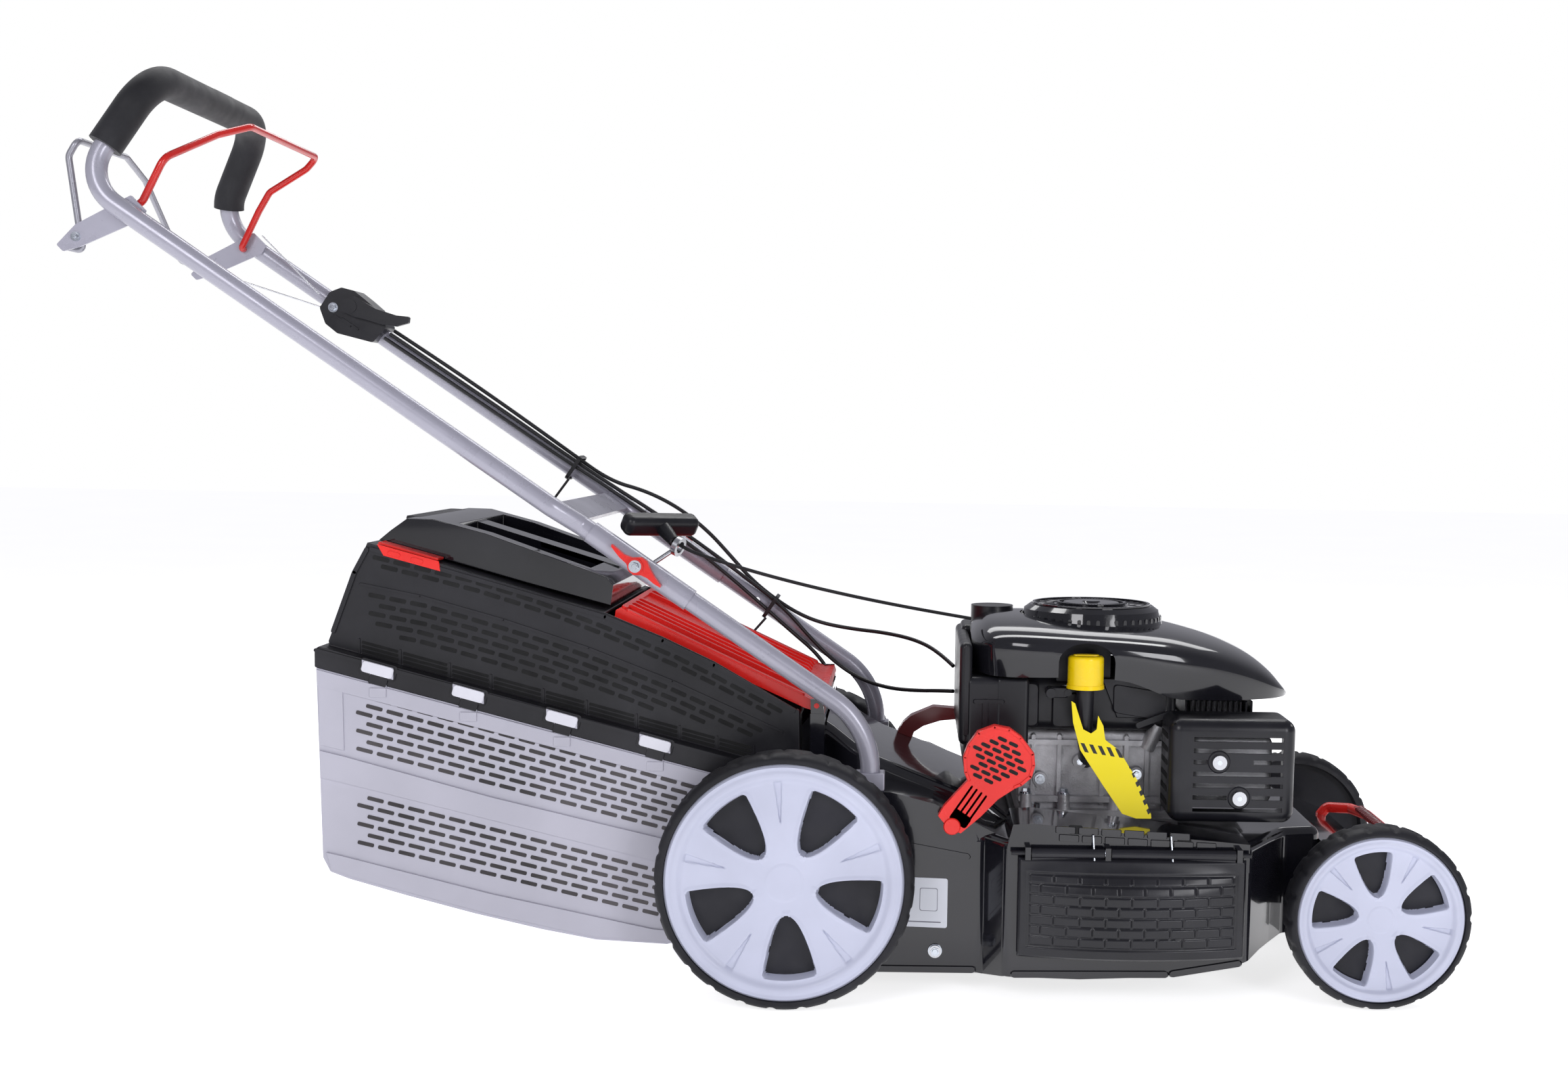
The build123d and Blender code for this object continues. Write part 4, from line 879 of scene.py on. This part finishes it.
def capnotch(B_):
    B_.cyl((232, 58, 340), (232, 58, 440), 33, n=40)
    B_.prism([(185, 40, 385), (232, 28, 385), (232, 90, 385), (185, 90, 385)], (0, 0, 1), 0, 50)


def hull_(B_):
    # block filling the inside of the shell, which is built open below; it is not among the cutters applied
    pts = [(215, 0, 300), (215, 0, 362), (240, 0, 378), (430, 0, 372), (520, 0, 345), (560, 0, 324), (560, 0, 300)]
    B_.prism(pts, (0, 1, 0), -112, 112)


def recoil_hole(B_):
    B_.cyl((349, 0, 395), (349, 0, 440), 86, n=72)


cut(cowl, [cutter("c1", arch), cutter("c2", capnotch), cutter("c3", recoil_hole)])

B = Builder()
# recess back wall behind the oil cap
B.rrect((331, -108, 360), (1, 0, 0), (0, 0, 1), 62, 52, 8, 0, 1.0, 0, 0)
ob = B.make("cowl_recess", [M["core_black"]], "chassis", "black_gloss_plastic")

# ------------------------------------------------------------------ recoil starter cover: ring, fins and crown
B = Builder()
cx = 349.0
for k in range(48):
    t = 2 * math.pi * k / 48
    u = Vector((math.cos(t), math.sin(t), 0))
    c = Vector((cx, 0, 0)) + u * 84.5
    w = Vector((-math.sin(t), math.cos(t), 0))
    B.rrect(Vector((c.x, c.y, 402.5)), w, (0, 0, 1), 4.2, 12, 1.5, 0, -2.2, 0.5, 0, 2)
for k in range(30):
    t = 2 * math.pi * k / 30
    u = Vector((math.cos(t + 0.35), math.sin(t + 0.35), 0))
    c = Vector((cx + 55 * math.cos(t), 55 * math.sin(t), 419.6))
    B.rrect(c, u, Vector((-u.y, u.x, 0)), 22, 3.0, 1.4, 0, 1.6, 0.6, 0, 2)
for rad, zz in ((69, 420.4), (40, 421.2)):
    n = 72
    for k in range(n):
        a0, a1 = 2 * math.pi * k / n, 2 * math.pi * (k + 1) / n
        c = ((cx + rad * math.cos((a0 + a1) / 2)), rad * math.sin((a0 + a1) / 2), zz)
        B.rrect(c, (-math.sin((a0 + a1) / 2), math.cos((a0 + a1) / 2), 0), (math.cos((a0 + a1) / 2), math.sin((a0 + a1) / 2), 0), 2 * rad * math.sin(math.pi / n) + 0.8, 3.4, 0.3, -2, 0.9, 0.4, 0, 1)
B.cyl((cx, 0, 419), (cx, 0, 423.0), 36, 33, n=48)
B.cyl((cx, 0, 422.5), (cx, 0, 424.5), 12, 10, n=32)
ob = B.make("recoil_ribs", [M["black_gloss_plastic"]], "chassis", "black_gloss_plastic")

# ------------------------------------------------------------------ engine flank
B = Builder()
# ribs down the casting, its flanges and bosses
for x in (262, 276, 306, 356, 384, 408, 436):
    B.rrect((x, -95, 236), (1, 0, 0), (0, 0, 1), 5, 84, 2, 0, 5.0, 1.6, 0)
B.rrect((352, -95, 202), (1, 0, 0), (0, 0, 1), 188, 7, 2, 0, 9.0, 1.6, 0)
B.rrect((352, -95, 268), (1, 0, 0), (0, 0, 1), 188, 6, 2, 0, 6.0, 1.6, 0)
for x, z in ((284, 225), (330, 246), (396, 232)):
    B.cyl((x, -94, z), (x, -103, z), 9, 8.2, n=28)
for x, z in ((268, 196), (312, 196), (372, 196), (440, 196)):
    B.cyl((x, -101.5, z - 6), (x, -101.5, z + 12), 8, 7, n=24)
# intake pipe
B.cyl((408, -96, 262), (420, -104, 292), 9, 9, n=24)
ob = B.make("case_ribs", [M["cast_alloy"]], "chassis", "cast_alloy", angle=40)

B = Builder()
# black blower side: panel steps and the tall bracket behind the lever
B.rrect((262, -112, 314), (1, 0, 0), (0, 0, 1), 36, 52, 6, 0, 6, 2.5, 0)
B.rrect((316, -112, 308), (1, 0, 0), (0, 0, 1), 42, 40, 5, 0, 4, 2, 0)
B.rrect((396, -112, 318), (1, 0, -0.15), (0, 0, 1), 64, 34, 5, 0, 5, 2.2, 0)
B.prism([(370, -112.5, 300), (352, -112.5, 345), (398, -112.5, 345), (430, -112.5, 300)], (0, -1, 0), 0, 3.0, 1.0)
B.rrect((300, -119, 330), (1, 0, 0), (0, 0, 1), 26, 12, 3, 0, 10, 2, 0)
B.cyl((292, -100, 330), (292, -136, 330), 5.5, n=20)
B.cyl((312, -110, 330), (312, -130, 330), 4.2, n=20)
# governor arm
B.rrect((412, -122, 300), (0.9, 0, 0.35), (-0.35, 0, 0.9), 46, 7, 3, 0, 3, 1, 0)
# tank: seams, straps
B.rrect((196, -125, 330), (0, 0, 1), (1, 0, 0), 104, 5, 2, 0, -2.0, 0.8, 0)
B.rrect((222, -125, 318), (1, 0, 0), (0, 0, 1), 36, 5, 2, 0, 2.2, 0.9, 0)
B.rrect((218, -125, 296), (0, 0, 1), (1, 0, 0), 50, 6, 2, 0, -2.0, 0.8, 0)
ob = B.make("engine_black_parts", [M["black_plastic"]], "chassis", "black_plastic", angle=40)

# head fins above the silencer
B = Builder()
for k in range(13):
    x = 452 + k * 6.4
    B.rrect((x, -60, 307), (0, 1, 0), (0, 0, 1), 76, 24, 1.0, -1.0, 1.0, 0.3, 0, 1)
ob = B.make("head_fins", [M["guard_black"]], "chassis", "cast_alloy")

# fasteners: washers, hexagon heads and a low round boss on each head
B = Builder()


def hexbolt(x, y, z, r, s=-1, wr=None):
    wr = wr or r * 1.55
    B.cyl((x, y, z), (x, y + s * 1.4, z), wr, wr * 0.96, n=32)
    B.cyl((x, y + s * 1.2, z), (x, y + s * (1.2 + r * 0.9), z), r, r * 0.97, n=6)
    B.cyl((x, y + s * (1.1 + r * 0.9), z), (x, y + s * (1.3 + r * 0.95), z), r * 0.7, r * 0.6, n=24)


hexbolt(476.3, -190.2, 263.8, 4.8)
hexbolt(499.5, -190.2, 223.6, 4.8)
for s in (-1, 1):
    hexbolt(164, s * 198.1, 48, 5.2, s)
hexbolt(309, -112.5, 330, 4.6)
hexbolt(330, -100.5, 246, 4.0)
hexbolt(284, -103, 225, 4.0)
hexbolt(396, -103, 232, 4.0)
for x, y in ((246 + 22, -101.5), (312, -101.5), (372, -101.5), (440, -101.5)):
    B.cyl((x, y, 208), (x, y, 210), 6.5, n=24)
    B.cyl((x, y, 209.5), (x, y, 214), 4.6, n=6)
# wing lever bolts, bail pivots, throttle screw
ob = B.make("bolt_heads", [M["zinc"]], "chassis", "steel", angle=35)
B = Builder()
for s in (-1, 1):
    hexbolt(-170, s * 204.0, line_z(-170), 4.6, s)
for s, body in ((-1, "right_clamp"), (1, "left_clamp")):
    B = Builder()
    hexbolt(-170, s * 204.0, line_z(-170), 4.6, s)
    B.make("wing_bolt_" + body, [M["zinc"]], body, "steel")
B = Builder()
for s in (-1, 1):
    hexbolt(-776, s * 181.9, 817, 3.2, s, 5.2)
hexbolt(-611.5, 165.8, 768.5, 4.2)
ob = B.make("handle_bolts", [M["zinc"]], "handle", "steel")

# oil cap: ribs and finger grip
B = Builder()
for k in range(28):
    t = 2 * math.pi * k / 28
    c = Vector((331 + 20.3 * math.cos(t), -134 + 20.3 * math.sin(t), 348))
    B.rrect(c, (-math.sin(t), math.cos(t), 0), (0, 0, 1), 2.2, 18, 0.9, 0, -0.9 if True else 0, 0.4, 0, 1)
B.rrect((331, -134, 374), (1, 0, 0), (0, 1, 0), 30, 9, 3.5, -3, 1.2, 1.0, 0)
B.cyl((331, -134, 336.4), (331, -134, 341), 21.6, 21.2, n=48)
ob = B.make("oil_cap_ribs", [M["yellow_plastic"]], "oil_cap", "yellow_plastic")
# fuel cap: ribs
B = Builder()
for k in range(24):
    t = 2 * math.pi * k / 24
    c = Vector((232 + 25.8 * math.cos(t), 58 + 25.8 * math.sin(t), 400))
    B.rrect(c, (-math.sin(t), math.cos(t), 0), (0, 0, 1), 3.0, 15, 1.2, 0, -1.2, 0.4, 0, 1)
ob = B.make("fuel_cap_ribs", [M["black_plastic"]], "petrol_cap", "black_plastic")

# silencer guard: side slots on the rear face
B = Builder()
for k in range(6):
    z = 214 + k * 15
    B.rrect((421.0, -152, z), (0, 1, 0), (0, 0, 1), 46, 6, 2.8, 0, 0.4, 0, 0, 2)
    B.rrect((421.0, -152, z), (0, 1, 0), (0, 0, 1), 46, 6, 2.8, 0, -0.4, 0, 0, 2)
    B.rrect((563.0, -152, z), (0, 1, 0), (0, 0, 1), 46, 6, 2.8, 0, 0.4, 0, 0, 2)
ob = B.make("guard_slots", [M["slot_dark"]], "chassis", "guard_black")
B = Builder()
for x, z in ((476.3, 263.8), (499.5, 223.6)):
    B.cyl((x, -189.6, z), (x, -191.2, z), 13, 11.5, n=40)
ob = B.make("guard_dimples", [M["guard_black"]], "chassis", "guard_black")

# nose: the front bumper's teeth
B = Builder()
for k in range(-8, 9):
    B.rrect((697.5, k * 7.0, 163.6), (1, 0, 0.1), (0, 1, 0), 12, 3.6, 1.4, -2, 2.2, 0.8, 0, 2)
ob = B.make("front_handle_teeth", [M["dark_red"]], "chassis", "red_paint")

# foam grip: blank sticker
B = Builder()
a_ = Vector((-0.47, 0, 0.88))
cyy = Vector((-701, -38, 992))
n_ = 10
w_ = 58
for k in range(n_):
    t0 = math.radians(62 + 6.8 * k)
    t1 = math.radians(62 + 6.8 * (k + 1))
    p0 = Vector((-701 + 18.25 * -math.cos(t0) * -1, 0, 992 + 18.25 * math.sin(t0)))
    p1 = Vector((-701 + 18.25 * -math.cos(t1) * -1, 0, 992 + 18.25 * math.sin(t1)))
    B.add([V(p0.x, 2, p0.z), V(p1.x, 2, p1.z), V(p1.x, 2 + w_, p1.z), V(p0.x, 2 + w_, p0.z)], [(0, 1, 2, 3)])
ob = B.make("grip_sticker", [M["label"]], "handle", "foam")

# throttle housing ribs and a round boss
B = Builder()
for k, (x_, z_) in enumerate(((-600, 752), (-590, 748))):
    B.rrect((x_, 166, z_), (0.83, 0, -0.56), (0.56, 0, 0.83), 26, 2.4, 1.0, 0, 1.6, 0.6, 0, 2)
B.cyl((-588, 166, 770), (-588, 157.4, 770), 9.5, 8.5, n=32)
ob = B.make("throttle_ribs", [M["black_plastic"]], "handle", "black_plastic")

# ------------------------------------------------------------------ stage, light, camera
def plane(name, co, mat):
    me = bpy.data.meshes.new(name)
    me.from_pydata(co, [], [tuple(range(len(co)))])
    o = bpy.data.objects.new(name, me)
    bpy.context.scene.collection.objects.link(o)
    me.materials.append(mat)
    return o


def floor_material():
    m, nt, b = nt_new("floor_pale")
    tc = nt.nodes.new("ShaderNodeTexCoord")
    n = nt.nodes.new("ShaderNodeTexNoise")
    n.inputs["Scale"].default_value = 2.0
    nt.links.new(tc.outputs["Object"], n.inputs["Vector"])
    r = ramp(nt, n.outputs["Fac"], 0.3, (0.86, 0.86, 0.87), 0.7, (0.90, 0.90, 0.905))
    nt.links.new(r.outputs[0], b.inputs["Base Color"])
    b.inputs["Roughness"].default_value = 0.9
    b.inputs["Emission Color"].default_value = (1, 1, 1, 1)
    b.inputs["Emission Strength"].default_value = 0.74
    return m


fm_ = floor_material()
floor = plane("floor", [(-14, -9, -0.0005), (14, -9, -0.0005), (14, 14, -0.0005), (-14, 14, -0.0005)], fm_)

w = bpy.data.worlds.new("studio")
bpy.context.scene.world = w
w.use_nodes = True
wn = w.node_tree
bg = wn.nodes["Background"]
lp = wn.nodes.new("ShaderNodeLightPath")
mx = wn.nodes.new("ShaderNodeMix")
mx.data_type = "RGBA"
wn.links.new(lp.outputs["Is Camera Ray"], mx.inputs[0])
mx.inputs[6].default_value = (0.27, 0.27, 0.30, 1)
mx.inputs[7].default_value = (1.0, 1.0, 1.0, 1)
wn.links.new(mx.outputs[2], bg.inputs[0])
bg.inputs[1].default_value = 1.0


def area(name, loc, target, size, size_y, power, col=(1, 1, 1)):
    d = bpy.data.lights.new(name, "AREA")
    d.shape = "RECTANGLE"
    d.size = size
    d.size_y = size_y
    d.energy = power
    d.color = col
    o = bpy.data.objects.new(name, d)
    bpy.context.scene.collection.objects.link(o)
    o.location = loc
    o.rotation_euler = (Vector(target) - Vector(loc)).to_track_quat("-Z", "Y").to_euler()
    return o


area("key_top", (-0.2, 1.3, 2.9), (0, 0.0, 0.3), 3.4, 0.6, 42)
area("front_left", (-1.5, -3.3, 2.1), (-0.1, 0, 0.4), 1.3, 1.3, 40, (0.98, 0.97, 1.0))
area("front_right", (2.0, -3.1, 1.3), (0.2, 0, 0.3), 1.0, 1.3, 36, (0.97, 0.97, 1.0))
area("back_rim", (0.4, 2.8, 2.2), (0, 0, 0.5), 3.0, 0.6, 12)

C = (127.126, -2146.195, 621.216)
YAW, PITCH, ROLL, F, SX, SY = 0.0160953, 0.0864907, 0.0178466, 2640.079, 225.249, 72.507
cam = bpy.data.cameras.new("cam")
cam.sensor_width = 36.0
cam.sensor_fit = "HORIZONTAL"
cam.lens = F / 2318.0 * 36.0
cam.shift_x = -SX / 2318.0
cam.shift_y = SY / 2318.0
cam.clip_start = 0.05
cam.clip_end = 60
co = bpy.data.objects.new("cam", cam)
bpy.context.scene.collection.objects.link(co)
fwd = Vector((math.sin(YAW) * math.cos(PITCH), math.cos(YAW) * math.cos(PITCH), -math.sin(PITCH)))
right = Vector((math.cos(YAW), -math.sin(YAW), 0))
upv = right.cross(fwd)
R = right * math.cos(ROLL) + upv * math.sin(ROLL)
U = upv * math.cos(ROLL) - right * math.sin(ROLL)
co.matrix_world = Matrix(((R.x, U.x, -fwd.x, (C[0] + SHIFT) / 1000), (R.y, U.y, -fwd.y, C[1] / 1000), (R.z, U.z, -fwd.z, C[2] / 1000), (0, 0, 0, 1)))
bpy.context.scene.camera = co
bpy.context.scene.view_settings.view_transform = "Standard"
